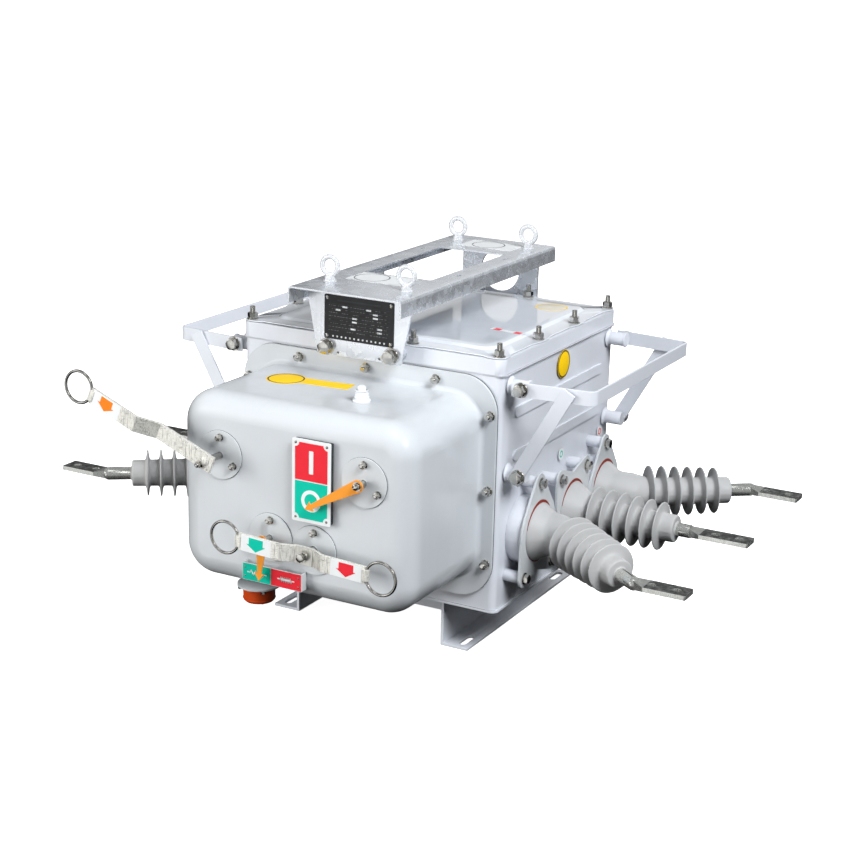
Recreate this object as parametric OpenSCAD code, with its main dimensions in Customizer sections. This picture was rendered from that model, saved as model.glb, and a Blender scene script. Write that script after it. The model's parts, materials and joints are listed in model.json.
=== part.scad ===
// Outdoor vacuum circuit breaker: a sealed tank with a front mechanism cover, three bushings
// on each side, bar guards, lifting frame and two hook-stick handles.
// Millimetres, +Z up, front towards -Y. Origin: floor plane, centre of the foot slots.

/* [Tank] */
// width of the tank across the bushing sides
tank_w = 580; // [520:1:640]
// depth of the tank from front to back
tank_d = 534; // [480:1:600]
// height of the tank shell without its rim band
tank_h = 474; // [420:1:540]
// radius of the tank's upright edges
tank_r = 14; // [6:1:30]
// height of the rim band under the lid
rim_h = 30; // [20:1:45]
// how far the rim band stands out of the shell
rim_out = 3; // [1:0.5:6]
// thickness of the lid plate
lid_t = 3; // [2:0.5:5]
// height of the pressed panel in the lid
lid_press = 5; // [2:0.5:10]
// distance from the lid's edge to its pressed panel
lid_edge = 45; // [30:1:60]
// corner radius of the pressed panel
lid_corner = 30; // [10:1:40]
// depths of the side wall beads below the top of the shell
bead_down = [85, 173];
// distance of a side bead's ends from the tank's front and back
bead_in = 58; // [40:1:90]
// width of a side wall bead
bead_w = 20; // [12:1:30]

/* [Feet] */
// height of the tank bottom above the mounting plane
foot_h = 104; // [70:1:140]
// distance from the tank's side to the outer face of a foot's web
foot_in = 117; // [90:1:140]
// width of a foot's flange, outwards from the web
foot_w = 55; // [45:1:80]
// distance of a foot's ends from the tank's front and back
foot_end = 16; // [0:1:40]
// plate thickness of the feet
foot_t = 6; // [4:0.5:10]
// overall length of a foot slot
slot_l = 50; // [30:1:70]
// width of a foot slot
slot_w = 15; // [12:0.5:20]
// distance of a slot's centre from the foot's end
slot_end = 39; // [32:1:60]
// distance of a slot's centre from the foot's web
slot_off = 34; // [20:1:44]

/* [Mechanism cover] */
// distance from the cover's flange to the tank's sides
flange_side = 5; // [2:1:20]
// distance from the cover's flange up to the rim band
flange_top = 6; // [3:1:20]
// distance from the cover's flange down to the tank's bottom
flange_low = 24; // [5:1:40]
// corner radius of the cover's flange
flange_r = 73; // [40:1:100]
// thickness of the cover's flange
flange_t = 8; // [4:0.5:12]
// distance from the flange's sides to the dome
dome_side = 31; // [26:1:45]
// distance from the flange's top and bottom to the dome
dome_top = 37; // [26:1:50]
// reach of the dome in front of the tank
dome_d = 278; // [220:1:320]
// corner radius of the dome seen from the front
dome_r = 65; // [50:1:90]
// radius of the dome's front edge
dome_edge = 45; // [20:1:48]

/* [Bearing plates] */
// radius of the round bearing plates on the dome
plate_r = 47.5; // [40:0.5:60]
// thickness of a bearing plate
plate_t = 3; // [2:0.5:6]
// width and height of the collar around a shaft on its plate
boss = 1; // [0.5:0.5:8]
// clearance around a shaft in its bearing
shaft_gap = 0.05; // [0.02:0.01:0.1]
// room around a shaft inside the dome
shaft_room = 3; // [2:0.5:5]
// depth to which a shaft reaches into the dome
shaft_in = 20; // [10:1:40]

/* [Handles] */
// place of the charging shaft, across and above the cover's centre
charge_at = [-155, 71];
// place of the open-close shaft
switch_at = [53, -79];
// radius of the charging shaft
charge_shaft_r = 6.5; // [5:0.5:12]
// radius of the open-close shaft
switch_shaft_r = 9; // [6:0.5:14]
// length of the collar behind a handle bar, and its width around the shaft
shaft_collar = [5, 2.5];
// distance of the charging bar's inner face from the dome
charge_reach = 47; // [35:1:80]
// distance of the open-close bar's inner face from the dome
switch_reach = 29; // [20:1:60]
// width of the handle bars
bar_w = 33; // [24:1:40]
// thickness of the handle bars
bar_t = 6; // [4:0.5:8]
// outward step in the charging bar
charge_out = 26.5; // [10:0.5:40]
// outward step in the open-close bar
switch_out = 14; // [8:1:24]
// angle of the charging handle above the level
charge_tilt = 21.7; // [0:0.1:45]
// angle of the open-close handle above the level, on its left side
switch_tilt = 2.5; // [0:0.1:15]
// where the charging bar starts and ends its outward step
charge_step = [114, 153];
// where the open-close bar starts and ends its outward step
switch_step = [17, 45];
// length of the charging bar behind its shaft
bar_tail = 16; // [10:1:40]
// distance of the charging handle's ring from its shaft
charge_ring = 292; // [220:1:340]
// distance of the open-close handle's rings from the shaft
switch_ring = 168; // [130:1:220]
// outer radius of a pull ring
ring_r = 34; // [26:0.5:42]
// wire radius of a pull ring
wire_r = 3; // [2:0.5:5]

/* [Pointers and signs] */
// place of the position pointer's shaft, across and above the cover's centre
pointer_at = [158, 71];
// place of the charge pointer's shaft
gauge_at = [-43, -72];
// radius of the pointer shafts
pointer_shaft_r = 6; // [4:0.5:8]
// length of the position pointer
pointer_l = 127; // [90:1:150]
// angle of the position pointer below the level
pointer_tilt = 30; // [20:1:45]
// length of the charge pointer
gauge_l = 80; // [60:1:100]
// angle of the charge pointer from straight down
gauge_tilt = 5; // [0:1:20]
// thickness of the pointers
pointer_t = 2; // [1:0.5:4]
// radius of the pointers' hubs
pointer_hub = 12; // [9:0.5:15]
// width of a pointer's neck
pointer_neck = 9; // [6:0.5:12]
// width and length of a pointer's tip
pointer_tip = [20, 16];
// distance of the position pointer from the dome
pointer_reach = 25; // [18:1:40]
// distance of the charge pointer from the dome
gauge_reach = 30; // [24:1:40]
// centre of the position sign, across and above the cover's centre
sign_at = [52.2, 56.5];
// width and height of the position sign
sign_size = [82.5, 159];
// distance of the position sign's face from the dome
sign_out = 12; // [6:1:20]
// centre of the charge sign, across and above the charge pointer's shaft
tag_at = [13, -71.3];
// width and height of the charge sign
tag_size = [131, 34];
// distance of the charge sign's face from the dome
tag_out = 17; // [12:1:30]
// sheet thickness of the signs
sign_t = 2; // [1:0.5:3]

/* [Lifting frame] */
// height of the frame's top above the rim band
frame_rise = 108.5; // [80:0.5:140]
// width of the frame
frame_w = 250; // [200:1:320]
// reach of the frame past the tank's front and back
frame_over = [97, 48];
// depth of the frame's side flanges
frame_h = 33; // [20:1:50]
// plate thickness of the frame and hangers
frame_t = 4; // [3:0.5:6]
// half width of the frame's window
window_x = 76; // [50:1:95]
// distances of the window from the frame's front and back ends
window_end = [204, 148];
// gap between a hanger plate and the rim band
hanger_gap = 30; // [15:1:45]
// half width of the front hanger at its lower edge
hanger_low = 93; // [80:1:110]
// play between the front hanger's upper edge and the frame's side flanges
hanger_play = 1; // [0.5:0.5:5]
// depth of the hangers' bent lips
hanger_lip = 55; // [40:1:70]
// half width of the back hanger
hanger_back = 92; // [80:1:110]
// radius of the cut-out in the back hanger
hanger_hole = 46; // [20:1:60]
// height of the cut-out's centre above the rim band
hanger_hole_up = 44; // [40:1:60]
// distance of the hanger bolts from the centre line
hanger_bolt = 72; // [60:1:80]
// radius of the spacers behind the hangers
spacer_r = 15; // [12:0.5:20]
// width and height of the nameplate
name_size = [154, 87];
// height of the nameplate's centre above the rim band
name_up = 45.5; // [40:0.5:60]

/* [Eye bolts] */
// distance of the eye bolts from the centre line
eye_x = 85; // [60:1:110]
// distances of the eye bolts from the frame's front and back ends
eye_end = [90, 56];
// outer radius of an eye
eye_r = 22.5; // [18:0.5:30]
// bar radius of an eye
eye_bar = 5; // [4:0.5:7]
// height of an eye's centre above the frame
eye_up = 29; // [22:1:36]

/* [Guards] */
// reach of the guard rail from the tank's side
guard_out = 180; // [120:1:240]
// distance of the rail's corners inside the tank's front and back
guard_in = 27; // [10:1:60]
// width of the guard bars
guard_w = 28; // [20:1:40]
// thickness of the guard bars
guard_t = 5; // [4:0.5:8]
// depths of the lower and upper guard studs below the top of the shell
stud_down = [197, 25];
// distance of the studs from the tank's front and back
stud_in = 33; // [20:1:50]
// length of a guard stud
stud_l = 44; // [30:1:60]
// radius of a guard stud
stud_r = 14; // [10:0.5:18]
// distance from the tank's side to the bolts through the studs
guard_bolt_out = 30; // [20:1:36]
// distance from the tank's side to where a brace meets the rail
brace_out = 126; // [90:1:150]
// length of a rail or brace end beyond its bolt
guard_tail = 15; // [10:1:20]

/* [Bushings] */
// height of the bushing axes above the tank bottom
bushing_z = 141.5; // [120:1:180]
// distance between neighbouring bushings at their flanges
bushing_gap = 160; // [140:1:180]
// sideways swing of the outer bushings
fan = 36.4; // [0:0.1:45]
// length of a turret between the tank and its flange plate
turret_l = 36; // [20:1:45]
// radius of a turret
turret_r = 68; // [64:1:75]
// radius of the spacer bosses behind a flange plate's bolts
boss_r = 12; // [8:0.5:16]
// thickness of a flange plate
bush_flange_t = 5; // [3:0.5:12]
// outer radius of a flange plate's ring
bush_ring_r = 77; // [72:0.5:79]
// radius of a flange plate's ears
ear_r = 19; // [14:0.5:22]
// radius of the bolt circle of a flange plate
bush_bolt_r = 99.5; // [85:0.5:110]
// angle of the paired bolts from the foot of the plate
bush_bolt_a = 37.5; // [30:0.5:60]
// radius of the insulator's root cone
root_r = 59; // [50:1:62]
// length of the middle insulator's root cone
root_mid = 58; // [40:1:80]
// length of an outer insulator's root up to its elbow
root_elbow = 52; // [35:1:60]
// length from the elbow to the first shed
elbow_l = 53; // [40:1:70]
// radius of the core at an outer insulator's elbow
elbow_core = 43; // [34:1:50]
// bend radius of the elbow
elbow_r = 60; // [50:1:70]
// number of sheds
sheds = 6; // [3:1:8]
// distance between sheds
shed_gap = 28; // [22:0.5:36]
// radius of the first shed
shed_r = 55; // [45:0.5:65]
// loss of radius from each shed to the next
shed_fall = 1.3; // [0:0.1:3]
// core radius of the insulator
core_r = 29.5; // [22:0.5:34]
// length of the insulator's end beyond the last shed
end_l = 33; // [25:1:50]

/* [Terminals] */
// radius of the terminal rod
rod_r = 13.5; // [8:0.5:16]
// length of rod showing on a middle bushing
rod_mid = 30; // [15:1:50]
// length of rod showing on an outer bushing
rod_out = 48; // [30:1:60]
// length of the terminal palm on a middle bushing
palm_mid = 124; // [90:1:140]
// length of the terminal palm on an outer bushing
palm_out = 108; // [90:1:130]
// width of a terminal palm
palm_w = 44; // [24:1:56]
// thickness of a terminal palm
palm_t = 9; // [5:0.5:12]
// distance between the two holes of a palm
palm_gap = 49; // [40:1:60]
// radius of the holes in a palm
palm_hole = 8; // [5:0.5:9]
// distance of the last hole from the palm's end
palm_end = 24; // [15:1:35]

// corner radius at a palm's end
palm_corner = 3; // [1:0.5:6]
// length over which the rod is flattened into the palm
throat_l = 26; // [10:1:40]

/* [Control socket] */
// centre of the socket under the dome, across and in front of the tank
socket_at = [-95.5, 239];
// gap between the socket's flange and the dome
socket_gap = 0.9; // [0.5:0.1:3]
// radius of the socket's flange
socket_flange_r = 42; // [32:0.5:48]
// height of the socket's flange
socket_flange_h = 4; // [3:0.5:14]
// radius of the socket's cap
socket_cap_r = 31.5; // [26:0.5:38]
// height of the socket's cap
socket_cap_h = 31; // [18:1:40]
// centre of the vent plug on the dome, across and in front of the tank
vent_at = [83, 165];

/* [Hidden] */
$fn = 48;
seat = 0.2;                              // play between parts that seat on curved faces
z0 = foot_h;
yf = -tank_d / 2;                        // tank front face
z_rim = z0 + tank_h;
z_lid = z_rim + rim_h;
z_frame = z_lid + frame_rise;
zb = z0 + bushing_z;
foot_x = tank_w / 2 - foot_in;
foot_l = tank_d - 2 * foot_end;
slot_gap = foot_l - 2 * slot_end;
slot_x = foot_x + slot_off;
flange_w = tank_w - 2 * flange_side;
flange_h = tank_h - flange_top - flange_low;
dome_w = flange_w - 2 * dome_side;
dome_h = flange_h - 2 * dome_top;
zc = z_rim - flange_top - flange_h / 2;  // centre height of the cover
yd = yf - dome_d;                        // dome front face
bearings = [[charge_at, charge_shaft_r], [switch_at, switch_shaft_r],
  [pointer_at, pointer_shaft_r], [gauge_at, pointer_shaft_r]];
ring_mid = ring_r - wire_r;
frame_front = yf - frame_over[0];
frame_back = -yf + frame_over[1];
eye_y = [frame_front + eye_end[0], frame_back - eye_end[1]];
hanger_top = frame_w / 2 - frame_t - hanger_play;
hanger_gap_y = -yf + rim_out + hanger_gap; // inner face of a hanger plate
guard_x = tank_w / 2 + guard_out;
guard_y = -yf - guard_in;
guard_bolt = tank_w / 2 + guard_bolt_out;
stud_y = -yf - stud_in;
rail_r = 16;                             // outer bend radius of the rail
leg_y = stud_y + stud_r + guard_t + seat; // outer face of a leg at the stud's end
stud_tip = tank_w / 2 + stud_l;
rail_slope = (leg_y - guard_y) / (guard_x - stud_tip);
flange_tuck = 0.3;
x_flange = tank_w / 2 + turret_l;        // inner face of the bushing flange plates
shed_last = (sheds - 1) * shed_gap;

grey = [0.80, 0.82, 0.84];
zinc = [0.72, 0.75, 0.77];
steel = [0.62, 0.62, 0.60];
tin = [0.80, 0.80, 0.76];
silicone = [0.66, 0.67, 0.69];

// ---- shared shapes ----
module rrect(w, h, r) {
  square([w - 2 * r, h], center = true);
  square([w, h - 2 * r], center = true);
  for (x = [-1, 1], y = [-1, 1]) translate([x * (w / 2 - r), y * (h / 2 - r)]) circle(r);
}

// plate or block with rounded corners seen from the front, from y0 back to y0 + t
module face_plate(w, h, r, y0, t) translate([0, y0 + t, 0]) rotate([90, 0, 0])
  linear_extrude(t) rrect(w, h, r);

// cylinder along Y from y0 back to y0 + l, at x, z
module y_rod(x, z, y0, l, r) translate([x, y0, z]) rotate([-90, 0, 0]) cylinder(r = r, h = l);

module at_front(p) translate([p[0], 0, zc + p[1]]) children();

module torus(r, w) rotate_extrude() translate([r, 0]) circle(w);

module slot2d(l, w) {
  square([w, l - w], center = true);
  for (s = [-1, 1]) translate([0, s * (l - w) / 2]) circle(w / 2);
}

function arc(c, r, a0, a1, n = 8) =
  [for (i = [0:n]) let (a = a0 + (a1 - a0) * i / n) [c[0] + r * cos(a), c[1] + r * sin(a)]];

// both sides: the first child as drawn at +X and its mirror image at -X
module sided(s) if (s > 0) children(); else mirror([1, 0, 0]) children();

// ---- tank ----
module tank_body() color(grey) union() {
  translate([0, 0, z0]) linear_extrude(tank_h) rrect(tank_w, tank_d, tank_r);
  for (s = [-1, 1], d = bead_down)
    translate([s * tank_w / 2, 0, z_rim - d]) rotate([90, 0, 90])
      translate([0, 0, -4]) linear_extrude(8) rotate(90) slot2d(tank_d - 2 * bead_in, bead_w);
}

module tank_rim() color(grey) translate([0, 0, z_rim]) linear_extrude(rim_h)
  rrect(tank_w + 2 * rim_out, tank_d + 2 * rim_out, tank_r + rim_out);

module lid() color([0.84, 0.85, 0.88]) translate([0, 0, z_lid]) {
  linear_extrude(lid_t) rrect(tank_w + 4, tank_d + 4, tank_r + 2);
  translate([0, 0, lid_t]) linear_extrude(lid_press)
    rrect(tank_w - 2 * lid_edge, tank_d - 2 * lid_edge, lid_corner);
}

module foot(s) color(grey) sided(s) {
  translate([foot_x - foot_t, -foot_l / 2, 0]) cube([foot_t, foot_l, foot_h]);
  difference() {
    translate([foot_x - foot_t, -foot_l / 2, 0]) cube([foot_w + foot_t, foot_l, foot_t]);
    for (y = [-1, 1]) translate([slot_x, y * slot_gap / 2, -1])
      linear_extrude(foot_t + 2) slot2d(slot_l, slot_w);
  }
}
module left_foot() foot(-1);
module right_foot() foot(1);

// ---- mechanism cover ----
module cover_flange() color(grey) translate([0, 0, zc])
  face_plate(flange_w, flange_h, flange_r, yf - flange_t, flange_t);

// rounded puck: one corner of the dome's front
module dome_corner() rotate([90, 0, 0]) rotate_extrude() {
  square([dome_r - dome_edge, dome_edge]);
  intersection() {
    translate([dome_r - dome_edge, 0]) circle(dome_edge);
    square([dome_r, dome_edge]);
  }
}
// edge profile run over the length l: half width w, front edges rounded
module dome_run(w, l) rotate([180, 0, 0]) linear_extrude(l, center = true) {
  translate([-w + dome_edge, 0]) square([2 * (w - dome_edge), dome_edge]);
  intersection() {
    for (s = [-1, 1]) translate([s * (w - dome_edge), 0]) circle(dome_edge);
    translate([-w, 0]) square([2 * w, dome_edge]);
  }
}
module mechanism_cover() color(grey) translate([0, 0, zc]) difference() {
  union() {
    face_plate(dome_w, dome_h, dome_r, yd + dome_edge, dome_d - dome_edge - flange_t);
    translate([0, yd + dome_edge, 0]) {
      for (x = [-1, 1], z = [-1, 1])
        translate([x * (dome_w / 2 - dome_r), 0, z * (dome_h / 2 - dome_r)]) dome_corner();
      dome_run(dome_w / 2, dome_h - 2 * dome_r);
      rotate([0, 90, 0]) dome_run(dome_h / 2, dome_w - 2 * dome_r);
    }
  }
  for (b = bearings) y_rod(b[0][0], b[0][1], yd - 1, shaft_in + 3, b[1] + shaft_room);
}

module bearing_plates() color([0.78, 0.80, 0.82]) for (b = bearings)
  at_front(b[0]) difference() {
    union() {
      y_rod(0, 0, yd - plate_t, plate_t, plate_r);
      y_rod(0, 0, yd - plate_t - boss, boss + 1, b[1] + boss);
    }
    y_rod(0, 0, yd - plate_t - boss - 1, plate_t + boss + 3, b[1] + shaft_gap);
  }

// ---- signs ----
module position_sign() color([0.93, 0.94, 0.94]) at_front(sign_at)
  face_plate(sign_size[0], sign_size[1], 3, yd - sign_out, sign_t);
module sign_backing() color([0.25, 0.27, 0.27]) at_front(sign_at)
  translate([-sign_size[0] / 2 + 2, yd - sign_out + sign_t, -sign_size[1] / 2 + 2])
    cube([sign_size[0] - 3, sign_out - sign_t, sign_size[1] - 4]);
module at_tag() translate([tag_at[0], 0, tag_at[1]]) children();
module charge_sign() color([0.90, 0.91, 0.91]) at_front(gauge_at) at_tag() {
  translate([-tag_size[0] / 2, yd - tag_out, -tag_size[1] / 2])
    cube([tag_size[0], sign_t, tag_size[1]]);
  for (s = [-1, 1]) translate([s * (tag_size[0] / 2 - sign_t / 2) - sign_t / 2, yd - tag_out,
    -tag_size[1] / 2]) cube([sign_t, tag_out, tag_size[1]]);
}

// ---- handles ----
// side view of a bar along +X from a to b, which steps out between s[0] and s[1]
module bar_plan(a, s, b, out) polygon([[a, 0], [s[0], 0], [s[1], -out], [b, -out],
  [b, -out - bar_t], [s[1] - 1.5, -out - bar_t], [s[0] - 1.5, -bar_t], [a, -bar_t]]);
module flat_bar() translate([0, 0, -bar_w / 2]) linear_extrude(bar_w) children();
// pull ring at the distance r along a bar that has stepped out, open where the bar's end holds it
module pull_ring(r, out) difference() {
  translate([r, -out - bar_t / 2, 0]) rotate([90, 0, 0]) torus(ring_mid, wire_r);
  translate([r - 2 * ring_r, -out - bar_t - 1, -bar_w])
    cube([ring_r + wire_r, bar_t + 2, 2 * bar_w]);
}

// shaft of radius r that stands out of its bar by over
module handle_shaft(p, reach, over, r) at_front(p) {
  y_rod(0, 0, yd - reach - bar_t - over, over + bar_t + reach + shaft_in, r);
  y_rod(0, 0, yd - reach, shaft_collar[0], r + shaft_collar[1]);
}
module charging_shaft() color(steel) handle_shaft(charge_at, charge_reach, 2, charge_shaft_r);
module switch_shaft() color(steel) handle_shaft(switch_at, switch_reach, 8, switch_shaft_r);

module shaft_hole(r) y_rod(0, 0, -bar_t - 1, bar_t + 2, r);

module charging_handle() color(tin) at_front(charge_at)
  translate([0, yd - charge_reach, 0]) rotate([0, charge_tilt, 0]) mirror([1, 0, 0])
    difference() {
      flat_bar() bar_plan(-bar_tail, charge_step, charge_ring - ring_r + wire_r, charge_out);
      shaft_hole(charge_shaft_r);
    }
module charging_ring() color(steel) at_front(charge_at)
  translate([0, yd - charge_reach, 0]) rotate([0, charge_tilt, 0]) mirror([1, 0, 0])
    pull_ring(charge_ring, charge_out);

module switch_bar_half() flat_bar()
  bar_plan(0, switch_step, switch_ring - ring_r + wire_r, switch_out);
module switch_handle() color(tin) at_front(switch_at)
  translate([0, yd - switch_reach, 0]) rotate([0, switch_tilt, 0]) difference() {
    union() { switch_bar_half(); mirror([1, 0, 0]) switch_bar_half(); }
    shaft_hole(switch_shaft_r);
  }
module switch_rings() color(steel) at_front(switch_at)
  translate([0, yd - switch_reach, 0]) rotate([0, switch_tilt, 0]) for (s = [0, 1])
    mirror([s, 0, 0]) pull_ring(switch_ring, switch_out);

// ---- pointers ----
module pointer_shaft(p, reach) at_front(p) {
  y_rod(0, 0, yd - reach - pointer_t - 4, 4 + pointer_t + reach + shaft_in, pointer_shaft_r);
  y_rod(0, 0, yd - reach, 8, pointer_shaft_r + 3);
}
module position_shaft() color(steel) pointer_shaft(pointer_at, pointer_reach);
module gauge_shaft() color(steel) pointer_shaft(gauge_at, gauge_reach);

// blade along +X: hub at the origin, arrow head at l
module blade(l) linear_extrude(pointer_t) difference() {
  union() {
    circle(pointer_hub);
    polygon(let (x = l - pointer_tip[1], n = pointer_neck / 2, w = pointer_tip[0] / 2)
      [[0, -pointer_hub], [x, -n], [x, -w], [l, 0], [x, w], [x, n], [0, pointer_hub]]);
  }
  circle(pointer_shaft_r);
}
module position_pointer() color([0.98, 0.62, 0.20]) at_front(pointer_at)
  translate([0, yd - pointer_reach, 0]) rotate([0, -pointer_tilt, 0]) mirror([1, 0, 0])
    rotate([90, 0, 0]) blade(pointer_l);
module gauge_pointer() color([0.98, 0.62, 0.20]) at_front(gauge_at)
  translate([0, yd - gauge_reach, 0]) rotate([0, 90 + gauge_tilt, 0])
    rotate([90, 0, 0]) blade(gauge_l);

// ---- control socket and vent ----
module at_socket() translate([socket_at[0], yf - socket_at[1],
  zc - dome_h / 2 - socket_flange_h - socket_gap]) children();
module socket_flange() color(zinc) at_socket() cylinder(r = socket_flange_r, h = socket_flange_h);
module socket_cap() color([0.80, 0.32, 0.13]) at_socket() translate([0, 0, -socket_cap_h])
    rotate_extrude() polygon([[0, 0], [socket_cap_r - 4, 0], [socket_cap_r - 1, 3],
      [socket_cap_r, socket_cap_h], [0, socket_cap_h]]);
module vent_plug() color([0.92, 0.94, 0.96]) translate([vent_at[0], yf - vent_at[1], zc + dome_h / 2])
  rotate_extrude() polygon([[0, 0], [17, 0], [17, 4], [13, 6], [13, 16], [8, 20], [8, 28],
    [5, 31], [0, 31]]);

// ---- lifting frame ----
module top_frame() color(zinc) difference() {
  l = frame_back - frame_front;
  translate([-frame_w / 2, frame_front, z_frame - frame_h]) cube([frame_w, l, frame_h]);
  translate([-frame_w / 2 + frame_t, frame_front - 1, z_frame - frame_h - frame_t])
    cube([frame_w - 2 * frame_t, l + 2, frame_h]);
  translate([-window_x, frame_front + window_end[0], z_frame - frame_h])
    cube([2 * window_x, l - window_end[0] - window_end[1], frame_h + 1]);
}

// plate outline seen from the front, bent back at its upper end
module hanger(low, top, y0, dir) {
  h = z_frame - frame_t - z_rim;
  translate([0, y0 + frame_t + 1, z_rim]) rotate([90, 0, 0])
    linear_extrude(frame_t + 1) polygon([[-low, 0], [low, 0], [top, h], [-top, h]]);
  translate([-top, dir > 0 ? y0 : y0 + frame_t + 1 - hanger_lip, z_frame - 2 * frame_t])
    cube([2 * top, hanger_lip, frame_t]);
}
module hanger_spacers(y0) for (s = [-1, 1])
  y_rod(s * hanger_bolt, z_rim + rim_h / 2, y0, hanger_gap, spacer_r);

module front_hanger() color(zinc) union() {
  hanger(hanger_low, hanger_top, -hanger_gap_y - frame_t - 1, 1);
  hanger_spacers(-hanger_gap_y);
}
module back_hanger() color(zinc) difference() {
  union() {
    hanger(hanger_back, hanger_back, hanger_gap_y, -1);
    hanger_spacers(hanger_gap_y - hanger_gap);
  }
  y_rod(0, z_lid + hanger_hole_up, hanger_gap_y - 1, frame_t + 3, hanger_hole);
}
module nameplate() color([0.10, 0.10, 0.11]) translate([0, 0, z_lid + name_up])
  face_plate(name_size[0], name_size[1], 3, -hanger_gap_y - frame_t - 2.5, 1.5);

module eye_bolts() color([0.86, 0.88, 0.90]) for (s = [-1, 1], y = eye_y)
  translate([s * eye_x, y, z_frame]) {
    cylinder(r = 11, h = 8, $fn = 6);
    translate([0, 0, 8]) cylinder(r = 9, h = eye_up - eye_r + eye_bar - 8);
    translate([0, 0, eye_up]) rotate([90, 0, 0]) torus(eye_r - eye_bar, eye_bar);
  }

// ---- guards ----
// plan of the rail on the right side, its outer edge first
function rail_half(r, t) =
  let (a = atan(rail_slope), x = guard_x - rail_r, x0 = guard_bolt - guard_tail)
  concat([[x0, leg_y + (stud_tip - x0) * rail_slope - t]],
    arc([x, leg_y - (x - stud_tip) * rail_slope - rail_r / cos(a)], r, 90 - a, 0));
function flip(v) = [for (i = [len(v) - 1:-1:0]) [v[i][0], -v[i][1]]];
module rail_plan() {
  o = rail_half(rail_r, 0);
  i = rail_half(rail_r - guard_t, guard_t);
  polygon(concat(o, flip(o), [for (p = i) [p[0], -p[1]]], [for (k = [len(i) - 1:-1:0]) i[k]]));
}
module guard_rail(s) color(grey) sided(s)
  translate([0, 0, z_rim - stud_down[1] - guard_w / 2]) linear_extrude(guard_w) rail_plan();
module left_guard_rail() guard_rail(-1);
module right_guard_rail() guard_rail(1);

module guard_braces(s) color(grey) sided(s) for (m = [0, 1]) mirror([0, m, 0]) {
  dx = brace_out - guard_bolt_out;
  dz = stud_down[0] - stud_down[1];
  a = atan2(dz, dx);
  // from the stud's end to where the brace first meets the rail's outer face
  x = tank_w / 2 + brace_out - guard_w / 2 * (1 / tan(a) + 1 / sin(a)) - stud_tip;
  turn = atan((rail_slope * x - guard_t - seat) / x);
  translate([stud_tip, -leg_y + guard_t, z_rim - stud_down[0]]) rotate([0, 0, turn])
    translate([guard_bolt - stud_tip, 0, 0]) rotate([0, -a, 0])
      translate([-guard_tail, -guard_t, -guard_w / 2])
        cube([norm([dx, dz]) + guard_tail + 10, guard_t, guard_w]);
}
module left_guard_braces() guard_braces(-1);
module right_guard_braces() guard_braces(1);

module guard_studs(s) color(grey) sided(s) for (y = [-1, 1], d = stud_down)
  translate([tank_w / 2, y * stud_y, z_rim - d]) rotate([0, 90, 0])
    cylinder(r = stud_r, h = stud_l);
module left_guard_studs() guard_studs(-1);
module right_guard_studs() guard_studs(1);

// ---- bushings ----
// places of the bolts in a flange plate; up = 1 puts the single bolt on top
function bolt_at(up, i) = i == 0 ? [0, up * bush_bolt_r]
  : [(i == 1 ? 1 : -1) * bush_bolt_r * sin(bush_bolt_a), -up * bush_bolt_r * cos(bush_bolt_a)];

module on_side(k) translate([0, k * bushing_gap, zb]) children();

module turrets(s) color(grey) sided(s) for (k = [-1, 0, 1]) on_side(k) {
  rotate([0, 90, 0]) translate([0, 0, tank_w / 2]) cylinder(r = turret_r, h = turret_l);
  for (i = [0:2]) let (p = bolt_at(k == 0 ? -1 : 1, i))
    translate([tank_w / 2, p[0], p[1]]) rotate([0, 90, 0]) cylinder(r = boss_r, h = turret_l);
}
module left_turrets() turrets(-1);
module right_turrets() turrets(1);

// ring with three ears, straight sides a hair inside the tangents, the single bolt on top
module flange_outline(up) {
  r = bush_ring_r - flange_tuck;
  e = ear_r - flange_tuck;
  a = acos((r - e) / bush_bolt_r);
  difference() {
    union() {
      circle(bush_ring_r);
      for (i = [0:2]) let (p = bolt_at(up, i)) rotate(atan2(p[1], p[0])) {
        translate([bush_bolt_r, 0]) circle(ear_r);
        polygon([for (q = [[0, 1, r], [1, 1, e], [1, -1, e], [0, -1, r]])
          [q[0] * bush_bolt_r + q[2] * cos(a), q[1] * q[2] * sin(a)]]);
      }
    }
    circle(root_r + 1);
  }
}
module flange_plates(s) color([0.78, 0.80, 0.82]) sided(s) for (k = [-1, 0, 1]) on_side(k)
  translate([x_flange, 0, 0]) rotate([90, 0, 90]) linear_extrude(bush_flange_t)
    flange_outline(k == 0 ? -1 : 1);
module left_flange_plates() flange_plates(-1);
module right_flange_plates() flange_plates(1);

// sheds and core along +X, the first shed at x = 0
module shed_stack() rotate([0, 90, 0]) rotate_extrude() polygon(concat(
  [[0, -8]],
  [for (k = [0:sheds - 1]) let (x = k * shed_gap, r = shed_r - k * shed_fall, c = core_r - 0.3 * k)
    each [[c, x - 8], [r - 8, x - 2.5], [r, x - 1], [r, x + 1.2], [r - 8, x + 2.6], [c, x + 6]]],
  [[core_r - 2, shed_last + end_l - 4], [core_r - 6, shed_last + end_l], [0, shed_last + end_l]]));

module root_cone(l, r1, r2) rotate([0, 90, 0]) cylinder(r1 = r1, r2 = r2, h = l);

// bends the rest by the fan angle about the elbow of an outer bushing, towards +Y
module past_elbow() translate([root_elbow, 0, 0]) rotate([0, 0, fan]) children();

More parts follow.
